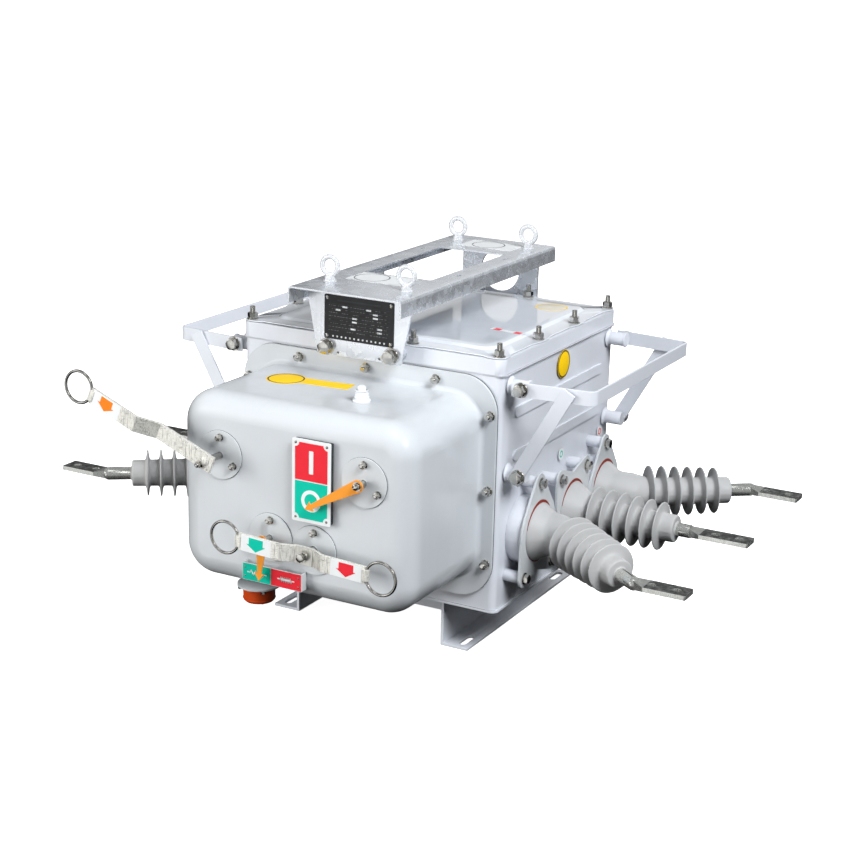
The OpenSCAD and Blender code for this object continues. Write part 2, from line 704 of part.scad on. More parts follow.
module outer_insulator() {
  t = elbow_r * tan(fan / 2);
  root_cone(root_elbow - t, root_r, elbow_core);
  translate([root_elbow - t, elbow_r, 0]) rotate([0, 0, -91])
    rotate_extrude(angle = fan + 2) translate([elbow_r, 0]) circle(elbow_core);
  past_elbow() {
    translate([t, 0, 0]) root_cone(elbow_l - t, elbow_core, core_r);
    translate([elbow_l, 0, 0]) shed_stack();
  }
}
module insulators(s) color(silicone) sided(s) {
  on_side(0) translate([x_flange, 0, 0]) {
    root_cone(root_mid, root_r, core_r);
    translate([root_mid, 0, 0]) shed_stack();
  }
  for (m = [0, 1]) mirror([0, m, 0]) on_side(1) translate([x_flange, 0, 0]) outer_insulator();
}
module left_insulators() insulators(-1);
module right_insulators() insulators(1);

// the rod flattened along +X, tapering in plan from the rod to the full width w, thickness h
module throat(w, h) intersection() {
  translate([0, 0, -rod_r]) linear_extrude(2 * rod_r)
    polygon([[0, -0.7 * rod_r], [throat_l, -w / 2], [throat_l, w / 2], [0, 0.7 * rod_r]]);
  translate([0, w, 0]) rotate([90, 0, 0]) linear_extrude(2 * w)
    polygon([[0, -0.68 * rod_r], [throat_l, -h / 2], [throat_l, h / 2], [0, 0.68 * rod_r]]);
}

// flat palm along +X with two holes, its end rounded at the corners
module palm(l) difference() {
  union() {
    throat(palm_w, palm_t);
    translate([0, 0, -palm_t / 2]) linear_extrude(palm_t) {
      translate([throat_l - 0.5, -palm_w / 2]) square([l - palm_corner - throat_l + 0.5, palm_w]);
      translate([throat_l, -palm_w / 2 + palm_corner])
        square([l - throat_l, palm_w - 2 * palm_corner]);
      for (y = [-1, 1]) translate([l - palm_corner, y * (palm_w / 2 - palm_corner)])
        circle(palm_corner);
    }
  }
  for (x = [l - palm_end, l - palm_end - palm_gap])
    translate([x, 0, -palm_t]) cylinder(r = palm_hole, h = 2 * palm_t);
}
module rod(l) rotate([0, 90, 0]) cylinder(r = rod_r, h = l);

module terminals(s) color(tin) sided(s) {
  on_side(0) translate([x_flange + root_mid + shed_last + end_l, 0, 0]) {
    rod(rod_mid);
    translate([rod_mid - 2, 0, 0]) palm(palm_mid + 2);
  }
  for (m = [0, 1]) mirror([0, m, 0]) on_side(1) translate([x_flange, 0, 0]) past_elbow()
    translate([elbow_l + shed_last + end_l, 0, 0]) {
      rod(rod_out);
      translate([rod_out, 0, 0]) {
        sphere(rod_r);
        rotate([0, 0, -fan]) palm(palm_out);
      }
    }
}
module left_terminals() terminals(-1);
module right_terminals() terminals(1);

tank_body();
tank_rim();
lid();
left_foot();
right_foot();
cover_flange();
mechanism_cover();
bearing_plates();
position_sign();
sign_backing();
charge_sign();
charging_shaft();
charging_handle();
charging_ring();
switch_shaft();
switch_handle();
switch_rings();
position_shaft();
position_pointer();
gauge_shaft();
gauge_pointer();
socket_flange();
socket_cap();
vent_plug();
top_frame();
front_hanger();
back_hanger();
nameplate();
eye_bolts();
left_guard_rail();
right_guard_rail();
left_guard_braces();
right_guard_braces();
left_guard_studs();
right_guard_studs();
left_turrets();
right_turrets();
left_flange_plates();
right_flange_plates();
left_insulators();
right_insulators();
left_terminals();
right_terminals();
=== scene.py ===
"""Outdoor vacuum circuit breaker: fasteners, signs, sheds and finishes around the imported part.

Everything is in metres in the part's own frame: X to the right, Y to the back, Z up.
"""

import json
import math
import random

import bmesh
import bpy
from bpy.props import FloatProperty, FloatVectorProperty, PointerProperty
from mathutils import Matrix, Vector


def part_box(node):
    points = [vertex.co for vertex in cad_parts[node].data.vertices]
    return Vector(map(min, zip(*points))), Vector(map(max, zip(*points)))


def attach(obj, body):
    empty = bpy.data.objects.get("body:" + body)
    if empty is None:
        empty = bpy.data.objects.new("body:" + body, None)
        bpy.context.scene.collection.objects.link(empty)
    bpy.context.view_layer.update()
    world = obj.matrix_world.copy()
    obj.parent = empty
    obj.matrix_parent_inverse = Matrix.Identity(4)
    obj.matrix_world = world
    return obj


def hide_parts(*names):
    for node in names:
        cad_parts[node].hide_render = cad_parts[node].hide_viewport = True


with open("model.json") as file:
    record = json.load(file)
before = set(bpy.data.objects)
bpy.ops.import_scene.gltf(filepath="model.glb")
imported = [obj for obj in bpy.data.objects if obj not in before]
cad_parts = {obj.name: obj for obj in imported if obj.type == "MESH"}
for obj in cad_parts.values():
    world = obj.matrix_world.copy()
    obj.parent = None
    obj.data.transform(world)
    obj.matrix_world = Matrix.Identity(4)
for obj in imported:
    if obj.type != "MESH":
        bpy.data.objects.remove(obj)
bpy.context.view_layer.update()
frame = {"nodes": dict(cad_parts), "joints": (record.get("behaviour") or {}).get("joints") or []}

bl_info = {
    "name": "Outdoor vacuum circuit breaker",
    "version": (1, 0, 0),
    "blender": (4, 5, 0),
    "location": "View3D > Sidebar > Breaker",
    "description": "Dresses the breaker with its fasteners, signs, insulators and finishes",
    "category": "Object",
}

MM = 0.001
UP = Vector((0, 0, 1))
SIDES = (("left", -1), ("right", 1))
FLOOR_R = 40.0
ON_EDGE = 1e-5
# Lamps: name, degrees right of the front, degrees up, width, power, tint; all at one distance.
LAMP_REACH = 4.0
LAMPS = (
    ("left", -42, 11, 1.8, 118, (1.0, 1.0, 0.98)),
    ("right", 62, 44, 1.8, 212, (0.95, 0.975, 1.0)),
    ("front", -5, 5, 1.6, 24, (1.0, 1.0, 1.0)),
    ("back", 176, 12, 2.4, 105, (0.98, 0.99, 1.0)),
)
# White cards that only shiny surfaces show: degrees right of the front, degrees up, reach, brightness.
REFLECTED_CARDS = (
    (60, 35, 13, 4.0),
    (-45, 12, 12, 2.0),
    (-28, -13, 20, 0.95),
    (-165, 22, 22, 0.4),
    (10, 65, 14, 2.0),
)


# ---------------------------------------------------------------- sizes and colours


def size(name, description, millimetres):
    settings = {"default": millimetres * MM, "min": 0.0, "subtype": "DISTANCE", "unit": "LENGTH"}
    return FloatProperty(name=name, description=description, **settings)


def angle(name, description, degrees):
    settings = {"default": math.radians(degrees), "subtype": "ANGLE", "unit": "ROTATION"}
    return FloatProperty(name=name, description=description, **settings)


def linear(value):
    """A screen channel from 0 to 255 as the linear value that shaders use."""
    v = value / 255
    return v / 12.92 if v <= 0.04045 else ((v + 0.055) / 1.055) ** 2.4


def colour(name, description, red, green, blue):
    settings = {"default": tuple(linear(v) for v in (red, green, blue)), "min": 0.0, "max": 1.0}
    return FloatVectorProperty(
        name=name, description=description, subtype="COLOR", size=3, **settings
    )


class BreakerSizes(bpy.types.PropertyGroup):
    """Lengths that the dressing adds to those of the part."""

    stud_rise: size("Lid stud rise", "Height of a lid stud above the lid", 27)
    stud_inset: size("Lid stud inset", "Distance of the lid studs from the lid's edge", 14.5)
    lid_nut: size("Lid nut", "Width across flats of the lid nuts", 18)
    lid_notch: size("Lid notch", "How far the lid's edge steps back between studs", 7)
    lid_sheet: size("Lid sheet", "Thickness of the lid sheet", 1.8)
    cover_nut: size("Cover nut", "Width across flats of the cover nuts", 15)
    cover_nut_inset: size("Cover nut inset", "Cover nuts from the flange's edge", 12.5)
    plate_nut: size("Plate nut", "Width across flats of the bearing plate nuts", 11.5)
    plate_nut_circle: size("Plate nut circle", "Radius that the plate nuts lie on", 34.5)
    hanger_bolt: size("Hanger bolt", "Width across flats of the hanger bolts", 24)
    ear_bolt: size("Bushing bolt", "Width across flats of the bushing bolts", 17)
    guard_bolt: size("Guard bolt", "Width across flats of the guard bolts", 22)
    label_t: size("Label thickness", "Thickness of a printed label", 0.4)
    spot_r: size("Round label radius", "Radius of the round labels on the tank's sides", 29)
    edge_r: size("Edge radius", "Rounding of sheared sheet edges", 0.8)
    frame_bend: size("Frame bend", "Outer bend radius of the lifting frame", 7)
    lip_high: size("Bottom lip", "Height of the lip under the tank's wall", 5.5)
    bar_high: size("Foot bar", "Height of the bars that join the feet", 29)
    frame_sheet: size("Frame sheet", "Sheet thickness of the lifting frame", 4)
    window_side: size("Window side", "Frame window to the frame's side", 49)
    window_front: size("Window front", "Frame window to the frame's front end", 204)
    window_back: size("Window back", "Frame window to the frame's back end", 148)
    elbow_at: size("Elbow distance", "Outer bushing's elbow from its flange", 47)
    elbow_bend: size("Elbow bend", "Bend radius of an outer bushing", 60)
    elbow_to_shed: size("Elbow to first shed", "Distance from the elbow to the first shed", 53)
    root_mid: size("Middle root", "First shed of a middle bushing from its flange", 53)
    root_r: size("Root radius", "Radius of a bushing at its flange", 59)
    neck_r: size("Neck radius", "Radius of a bushing at its elbow", 43)
    core_r: size("Core radius", "Radius between the sheds", 29.5)
    shed_r: size("Shed radius", "Radius of the first shed", 55)
    shed_fall: size("Shed fall", "Radius that each next shed loses", 1.3)
    shed_gap: size("Shed spacing", "Distance from shed to shed", 28)
    end_l: size("Insulator end", "Length past the last shed", 33)
    bar_w: size("Handle width", "Width of the handle bars", 33)
    bar_t: size("Handle thickness", "Thickness of the handle bars", 6)
    fan: angle("Fan angle", "Turn of the outer bushings away from the middle one", 36.4)


class BreakerColours(bpy.types.PropertyGroup):
    """Base colours of the finishes."""

    housing: colour("Housing", "Powder coat on the tank", 219, 222, 229)
    cover: colour("Cover", "Powder coat on the mechanism cover", 205, 209, 213)
    lid: colour("Lid", "Gloss paint on the lid", 224, 228, 235)
    plate: colour("Plates", "Gloss paint on the small plates", 206, 210, 213)
    zinc: colour("Galvanised sheet", "Hot-dip zinc", 240, 244, 250)
    bright_zinc: colour("Bright zinc", "Plated eye bolts", 240, 242, 245)
    steel: colour("Stainless steel", "Fasteners and rings", 216, 214, 208)
    tinned: colour("Tinned steel", "Handles", 250, 248, 240)
    copper: colour("Tinned copper", "Terminals", 226, 227, 222)
    silicone: colour("Silicone", "Insulators", 182, 182, 182)
    pointer: colour("Pointer", "Orange pointers", 250, 160, 58)
    cap: colour("Socket cap", "Orange cap", 204, 72, 20)
    vent: colour("Vent", "White vent plug", 232, 236, 240)
    red: colour("Sign red", "Enamel for closed", 236, 44, 58)
    green: colour("Sign green", "Enamel for open", 0, 196, 168)
    white: colour("Sign white", "White enamel and label film", 238, 240, 241)
    yellow: colour("Label yellow", "Yellow labels", 255, 208, 8)
    engraved: colour("Engraved lines", "Fine marks on the nameplate", 112, 114, 116)
    faded: colour("Faded label", "Sun-bleached label on the lid", 222, 214, 196)
    orange: colour("Label orange", "Orange arrow", 244, 132, 32)
    ink: colour("Ink", "Dark print and rims", 40, 38, 34)
    rubber: colour("Rubber", "Seals", 52, 54, 56)
    gasket: colour("Gasket", "Red gaskets behind the bushings", 140, 52, 40)
    black: colour("Nameplate", "Black anodised plate", 26, 26, 29)
    backing: colour("Sign backing", "Dark sides of the sign", 50, 54, 55)


# ---------------------------------------------------------------- mesh shapes
# A shape is (points, faces). Axes and profiles run along +Z until place() moves them.


def mm(*points):
    """Points or sets of values given in millimetres."""
    return [tuple(value * MM for value in point) for point in points]


def level(outline, z):
    """An outline of (x, y) points at one height."""
    return [Vector((x, y, z)) for x, y in outline]


def polar(radius, a):
    return radius * math.cos(a), radius * math.sin(a)


def shares(steps):
    """Steps from 0 to 1, both included."""
    return [k / steps for k in range(steps + 1)]


def around(count, start=0.0):
    """Angles all the way round, from a first one."""
    return [start + 2 * math.pi * k / count for k in range(count)]


def skin(loops, ring=False):
    """Joins loops of equally many points in order, with flat ends unless they form a ring."""
    n = len(loops[0])
    points = [Vector(p) for loop in loops for p in loop]
    steps = len(loops) if ring else len(loops) - 1
    faces = []
    for k in range(steps):
        a, b = k * n, (k + 1) % len(loops) * n
        faces += [(a + i, a + (i + 1) % n, b + (i + 1) % n, b + i) for i in range(n)]
    if not ring:
        faces += [tuple(reversed(range(n))), tuple(range(len(points) - n, len(points)))]
    return points, faces


def circle(radius, height=0.0, n=32):
    return level([polar(radius, a) for a in around(n)], height)


def lathe(profile, n=32):
    """Turns (radius, height) points about Z."""
    return skin([circle(r, h, n) for r, h in profile])


def washer_ring(profile, n=32):
    """Turns a closed (radius, height) outline about Z."""
    return skin([circle(r, h, n) for r, h in profile], ring=True)


def place(shape, matrix):
    points, faces = shape
    moved = [matrix @ p for p in points]
    return moved, faces if matrix.determinant() > 0 else [f[::-1] for f in faces]


def merge(*shapes):
    points, faces = [], []
    for more_points, more_faces in shapes:
        k = len(points)
        points += more_points
        faces += [tuple(i + k for i in f) for f in more_faces]
    return points, faces


def facing(origin, direction, spin=0.0):
    """A place at origin whose +Z runs along direction, turned by spin about it."""
    z = Vector(direction).normalized()
    x = (UP if abs(z.z) < 0.9 else Vector((0, 1, 0))).cross(z).normalized()
    y = z.cross(x)
    turn = Matrix((x, y, z)).transposed() @ Matrix.Rotation(spin, 3, "Z")
    return Matrix.Translation(Vector(origin)) @ turn.to_4x4()


def hexagon(width, height, n=24):
    """A hexagon's outline as one loop, with points along its sides."""
    sixth = math.pi / 3
    loop = [polar(width / 2 / math.cos((a + sixth / 2) % sixth - sixth / 2), a) for a in around(n)]
    return level(loop, height)


def hex_body(width, height, base=0.0):
    """A hexagon with chamfered corners on its outer face."""
    chamfer, corner_past_flat = 0.063 * width, 0.0774 * width
    low = hexagon(width, base)
    top = []
    for p in hexagon(width, base + height):
        over = (p.to_2d().length - width / 2) / corner_past_flat
        top.append(Vector((p.x, p.y, p.z - chamfer * over)))
    crown = circle(width / 2 * 0.93, base + height, len(low))
    return skin([low, top, crown])


def thread(radius, low, high, pitch):
    """A threaded end with a chamfered tip."""
    profile = [(radius, low)]
    z = low
    while z + pitch < high - radius * 0.25:
        profile += [(radius * 0.88, z + pitch * 0.5), (radius, z + pitch)]
        z += pitch
    return lathe(profile + [(radius, high - radius * 0.25), (radius * 0.75, high)], 20)


def flat_washer(radius, thick, base=0.0):
    lip = thick * 0.25
    return lathe([(radius, base), (radius, base + thick - lip), (radius - lip, base + thick)], 36)


def bolt(width):
    """A hexagon head on a spring washer and a flat washer."""
    wash, spring = width * 0.12, width * 0.1
    return merge(
        flat_washer(width * 0.68, wash),
        lathe([(width * 0.52, wash), (width * 0.52, wash + spring)], 28),
        hex_body(width, width * 0.42, wash + spring),
    )


def nut_on_stud(width, rise):
    """A nut on a flat and a spring washer, with the stud's thread standing out of it."""
    wash = width * 0.12
    return merge(
        flat_washer(width * 0.66, wash),
        lathe([(width * 0.5, wash), (width * 0.5, 2 * wash)], 28),
        hex_body(width, width * 0.5, 2 * wash),
        thread(width * 0.3, 0, rise, width * 0.09),
    )


def domed(radius, high, shares, n):
    """A head whose profile is given in shares of its radius and height."""
    return lathe([(radius * out, high * up) for out, up in shares], n)


def pan_screw(radius, high):
    return domed(radius, high, ((1, 0), (1, 0.35), (0.86, 0.75), (0.5, 1)), 24)


def rivet(radius, high):
    return domed(radius, high, ((1, 0), (0.92, 0.5), (0.6, 0.9), (0.2, 1)), 20)


def tube(path, radius, n=14, closed=False):
    """A round bar along points; closed joins its ends."""
    loops = []
    normal = None
    count = len(path)
    for i, p in enumerate(path):
        after = path[(i + 1) % count] if closed or i + 1 < count else p
        before = path[i - 1] if closed or i else p
        ahead = (Vector(after) - Vector(before)).normalized()
        if normal is None:
            normal = ahead.orthogonal().normalized()
        normal = (normal - ahead * normal.dot(ahead)).normalized()
        side = ahead.cross(normal)
        spokes = [polar(radius, a) for a in around(n)]
        loops.append([Vector(p) + x * normal + y * side for x, y in spokes])
    return skin(loops, ring=closed)


def hoop(centre, radius, z, bar, n, sides):
    """A level ring of round bar about a centre."""
    path = [p + Vector((centre.x, centre.y, 0)) for p in circle(radius, z, n)]
    return tube(path, bar, sides, True)


def plate(outline, thick, bevel=0.0):
    """A flat outline of (x, y) points given thickness along +Z, its outer edge eased."""
    centre = sum((Vector(p) for p in outline), Vector((0, 0))) / len(outline)

    def loop(z, inset):
        result = []
        for p in outline:
            q = Vector(p)
            inward = centre - q
            q = q + inward.normalized() * min(inset, inward.length * 0.5)
            result.append(Vector((q.x, q.y, z)))
        return result

    upper = [loop(thick - bevel, 0), loop(thick, bevel)] if bevel else [loop(thick, 0)]
    return skin([loop(0, 0)] + upper)


def round_rect(wide, high, radius, corner=6, side=1):
    """Outline of a rounded rectangle about its centre, anticlockwise."""
    outline = []
    for sx, sy, start in ((1, -1, -90), (1, 1, 0), (-1, 1, 90), (-1, -1, 180)):
        cx, cy = sx * (wide / 2 - radius), sy * (high / 2 - radius)
        for t in shares(corner):
            x, y = polar(radius, math.radians(start + 90 * t))
            outline.append((cx + x, cy + y))
    if side > 1:
        outline = subdivided(outline, side, corner + 1)
    return outline


def subdivided(outline, side, group):
    """Adds points along the straight runs that follow each group of corner points."""
    result = []
    for i, p in enumerate(outline):
        result.append(p)
        if i % group == group - 1:
            q = outline[(i + 1) % len(outline)]
            for k in range(1, side):
                t = k / side
                result.append((p[0] + (q[0] - p[0]) * t, p[1] + (q[1] - p[1]) * t))
    return result


# ---------------------------------------------------------------- pieces


def build(name, body, slot, parts, smooth=32.0, bevel=0.0, node=None):
    """Makes one piece from (shape, material) pairs, riding on a body of the part."""
    bm = bmesh.new()
    materials = []
    for (points, faces), material in parts:
        if material not in materials:
            materials.append(material)
        verts = [bm.verts.new(p) for p in points]
        for f in faces:
            face = bm.faces.new([verts[i] for i in f])
            face.material_index = materials.index(material)
    bmesh.ops.recalc_face_normals(bm, faces=bm.faces)
    limit = math.radians(smooth)
    for face in bm.faces:
        face.smooth = True
    for edge in bm.edges:
        if len(edge.link_faces) == 2 and edge.calc_face_angle(0) > limit:
            edge.smooth = False
    mesh = bpy.data.meshes.new(name)
    bm.to_mesh(mesh)
    bm.free()
    for material in materials:
        mesh.materials.append(finish(material))
    piece = bpy.data.objects.new(name, mesh)
    bpy.context.scene.collection.objects.link(piece)
    if bevel:
        ease(piece, bevel)
    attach(piece, body)
    if node:
        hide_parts(node)
    return piece


def solid(name, slot, shapes, material=None, body="breaker", **more):
    """Makes a piece of one material, its slot's own unless another is given."""
    return build(name, body, slot, [(merge(*shapes), material or slot)], **more)


def stick(name, *films, body="breaker"):
    """Makes a sign's piece from films: each a shape, where it lies and its ink."""
    parts = [(place(shape, where), ink) for shape, where, ink in films]
    return build(name, body, "sign_enamel", parts)


def ease(piece, width, weld=False):
    """Rounds the hard edges of a piece."""
    if weld:
        join = piece.modifiers.new("Join faces", "WELD")
        join.merge_threshold = 1e-6
    rounding = piece.modifiers.new("Eased edges", "BEVEL")
    rounding.width = width
    rounding.segments = 2
    rounding.limit_method = "ANGLE"
    rounding.angle_limit = math.radians(35)
    rounding.harden_normals = True


def dress(node, material, bevel=0.0):
    """Gives a node of the part its finish."""
    piece = frame["nodes"][node]
    piece.data.materials.clear()
    piece.data.materials.append(finish(material))
    if bevel:
        ease(piece, bevel, weld=True)


def islands(node):
    """Boxes (low, high) of the separate solids of a node, from left to right, front to back."""
    bm = bmesh.new()
    bm.from_mesh(frame["nodes"][node].data)
    bmesh.ops.remove_doubles(bm, verts=bm.verts, dist=1e-6)
    left = set(bm.verts)
    boxes = []
    while left:
        edge = [left.pop()]
        group = list(edge)
        while edge:
            v = edge.pop()
            for e in v.link_edges:
                w = e.other_vert(v)
                if w in left:
                    left.discard(w)
                    edge.append(w)
                    group.append(w)
        low = Vector([min(v.co[k] for v in group) for k in range(3)])
        high = Vector([max(v.co[k] for v in group) for k in range(3)])
        boxes.append((low, high))
    bm.free()
    return sorted(boxes, key=lambda b: tuple(round(c, 4) for c in (b[0] + b[1]) / 2))


def middle(box):
    return (box[0] + box[1]) / 2


def pivot(joint):
    """Where a joint turns, on the front of the cover."""
    for j in frame["joints"]:
        if j["name"] == joint:
            return Vector(j["pos_m"])
    raise ValueError(f"the part has no joint {joint}")


# ---------------------------------------------------------------- finishes


def node(tree, kind, into=None, **settings):
    """Adds a shader node; into maps its inputs to values or to sockets that feed them."""
    made = tree.nodes.new("ShaderNode" + kind)
    for key, value in settings.items():
        setattr(made, key, value)
    for key, value in (into or {}).items():
        if isinstance(value, bpy.types.NodeSocket):
            tree.links.new(value, made.inputs[key])
        else:
            made.inputs[key].default_value = value
    return made


def maths(tree, operation, a, b=None, clamp=False):
    inputs = {0: a} if b is None else {0: a, 1: b}
    return node(tree, "Math", inputs, operation=operation, use_clamp=clamp).outputs[0]


def scaled(tree, vector, factor):
    return node(tree, "VectorMath", {0: vector, 3: factor}, operation="SCALE").outputs[0]


def remap(tree, value, low, high, to_low=0.0, to_high=1.0):
    inputs = {0: value, 1: low, 2: high, 3: to_low, 4: to_high}
    return node(tree, "MapRange", inputs).outputs[0]


def mix(tree, factor, a, b):
    inputs = {0: factor, 6: a, 7: b}
    return node(tree, "Mix", inputs, data_type="RGBA").outputs[2]


def noise(tree, scale, detail=3.0, place_from=None, rough=0.55):
    inputs = {"Scale": scale, "Detail": detail, "Roughness": rough}
    inputs["Vector"] = place_from or node(tree, "TexCoord").outputs["Object"]
    return node(tree, "TexNoise", inputs).outputs[0]


def stretched(tree, x, y, z):
    """Object coordinates scaled apart along the axes, for marks that run one way."""
    where = node(tree, "TexCoord").outputs["Object"]
    return node(tree, "Mapping", {"Vector": where, "Scale": (x, y, z)}).outputs[0]


def upward(tree):
    """How far a face looks up."""
    return node(tree, "SeparateXYZ", {0: node(tree, "NewGeometry").outputs["Normal"]}).outputs["Z"]


def effect(name, inputs, outputs):
    """An empty node group with named inputs and outputs, what it is given and what it results in."""
    group = bpy.data.node_groups.new(name, "ShaderNodeTree")
    for label, value in inputs.items():
        made = group.interface.new_socket(label, in_out="INPUT", socket_type="NodeSocketFloat")
        made.default_value = value
    for label in outputs:
        group.interface.new_socket(label, in_out="OUTPUT", socket_type="NodeSocketFloat")
    given = group.nodes.new("NodeGroupInput").outputs
    result = group.nodes.new("NodeGroupOutput").inputs
    return group, given, result


def give_mask(group, given, result, mask):
    """Sends out a mask by the group's own amount."""
    group.links.new(maths(group, "MULTIPLY", mask, given["Amount"], True), result["Mask"])
    return group


def make_edge_wear_and_highlight():
    """Edge mask for some wear and for a painted highlight: where a rounded normal leaves the face's
    own.
    """
    inputs = {"Radius": 0.0015, "Breakup": 60.0, "Amount": 0.5}
    group, given, result = effect("Edge wear", inputs, ["Mask"])
    face = node(group, "NewGeometry").outputs["Normal"]
    rounded = node(group, "Bevel", {"Radius": given["Radius"]}, samples=4).outputs[0]
    same = node(group, "VectorMath", {0: rounded, 1: face}, operation="DOT_PRODUCT")
    edge = remap(group, same.outputs["Value"], 0.985, 0.86)
    broken = remap(group, noise(group, given["Breakup"], 4.0), 0.38, 0.62)
    return give_mask(group, given, result, maths(group, "MULTIPLY", edge, broken))


def make_grain():
    """Fine texture of a coat: slow changes of tone and a fine height."""
    group, given, result = effect("Grain", {"Scale": 300.0, "Patch scale": 9.0}, ["Tone", "Height"])
    slow = remap(group, noise(group, given["Patch scale"], 4.0), 0.3, 0.7)
    group.links.new(slow, result["Tone"])
    group.links.new(noise(group, given["Scale"], 2.0), result["Height"])
    return group


def make_dust_and_shade():
    """Fine dirt on what faces up, and painted shade that darkens where surfaces meet, read from
    ambient occlusion.
    """
    group, given, result = effect("Dust", {"Amount": 0.3, "Scale": 30.0, "Reach": 0.02}, ["Mask"])
    lying = remap(group, upward(group), 0.55, 1.0, 0.0, 0.55)
    # Occlusion darkens corners and creases: painted shade.
    occluded = node(group, "AmbientOcclusion", {"Distance": given["Reach"]}, samples=4)
    corner = remap(group, occluded.outputs["AO"], 0.75, 0.2)
    patchy = remap(group, noise(group, given["Scale"], 5.0, rough=0.65), 0.4, 0.68)
    total = maths(group, "ADD", maths(group, "MULTIPLY", lying, patchy), corner, True)
    return give_mask(group, given, result, total)


def make_top_reflection():
    """Painted dark reflection on the level tops of bare metal, broken up by a noise."""
    group, given, result = effect("Tarnish", {"Amount": 0.8, "Scale": 90.0}, ["Mask"])
    level_face = remap(group, upward(group), 0.975, 0.995)
    # The noise only breaks up the painted reflection.
    rubbed = remap(group, noise(group, given["Scale"], 5.0), 0.3, 0.6, 0.7, 1.0)
    return give_mask(group, given, result, maths(group, "MULTIPLY", level_face, rubbed))


def make_streaks():
    """Faint runs that water leaves down upright faces."""
    group, given, result = effect("Streaks", {"Amount": 0.2, "Scale": 1.0}, ["Mask"])
    spread = scaled(group, stretched(group, 70, 70, 4), given["Scale"])
    runs = remap(group, noise(group, 1.0, 4.0, spread), 0.52, 0.75)
    side = remap(group, maths(group, "ABSOLUTE", upward(group)), 0.7, 0.2)
    return give_mask(group, given, result, maths(group, "MULTIPLY", runs, side))


def make_spangle():
    """Crystals of a zinc coat: a tone for each crystal, and its borders."""
    group, given, result = effect("Spangle", {"Scale": 120.0}, ["Tone", "Height"])
    where = node(group, "TexCoord").outputs["Object"]
    warp = node(group, "VectorMath", {0: where}, operation="ADD")
    wobble = node(group, "TexNoise", {"Scale": 40.0, "Vector": where}).outputs["Color"]
    group.links.new(scaled(group, wobble, 0.008), warp.inputs[1])
    cells = node(group, "TexVoronoi", {"Vector": warp.outputs[0], "Scale": given["Scale"]})
    tone = node(group, "SeparateColor", {0: cells.outputs["Color"]}).outputs[0]
    group.links.new(tone, result["Tone"])
    group.links.new(cells.outputs["Distance"], result["Height"])
    return group


def make_scratches():
    """Fine drawn marks and pits of handled bare metal."""
    inputs = {"Scale": 1.0, "Amount": 0.5, "Grit": 0.0}
    group, given, result = effect("Scratches", inputs, ["Mask", "Height"])
    fine = scaled(group, stretched(group, 900, 900, 60), given["Scale"])
    across = scaled(group, stretched(group, 90, 300, 700), given["Scale"])
    drawn = remap(group, noise(group, 1.0, 3.0, fine), 0.5, 0.72)
    rubbed = remap(group, noise(group, 1.0, 4.0, across), 0.48, 0.7)
    patch = remap(group, noise(group, 45.0, 4.0), 0.42, 0.62)
    marks = maths(group, "MAXIMUM", drawn, maths(group, "MULTIPLY", rubbed, patch))
    pits = remap(group, noise(group, 170.0, 6.0, rough=0.85), 0.54, 0.6)
    pits = maths(group, "MULTIPLY", pits, remap(group, patch, 0, 1, 0.45, 1.0))
    marks = maths(group, "MAXIMUM", marks, maths(group, "MULTIPLY", pits, given["Grit"]))
    give_mask(group, given, result, marks)
    group.links.new(marks, result["Height"])
    return group


EFFECTS = {
    "wear": make_edge_wear_and_highlight,
    "grain": make_grain,
    "dust": make_dust_and_shade,
    "tarnish": make_top_reflection,
    "streaks": make_streaks,
    "spangle": make_spangle,
    "scratches": make_scratches,
}
made_effects = {}


def use(tree, name, **inputs):
    """Places an effect in a material with its own values and gives its outputs."""
    if name not in made_effects:
        made_effects[name] = EFFECTS[name]()
    placed = tree.nodes.new("ShaderNodeGroup")
    placed.node_tree = made_effects[name]
    placed.label = made_effects[name].name
    for key, value in inputs.items():
        placed.inputs[key.replace("_", " ").capitalize()].default_value = value
    return placed.outputs


def look(base, rough, grain, tone, wear, dust, **more):
    return dict(base=base, rough=rough, grain=grain, tone=tone, wear=wear, dust=dust, **more)
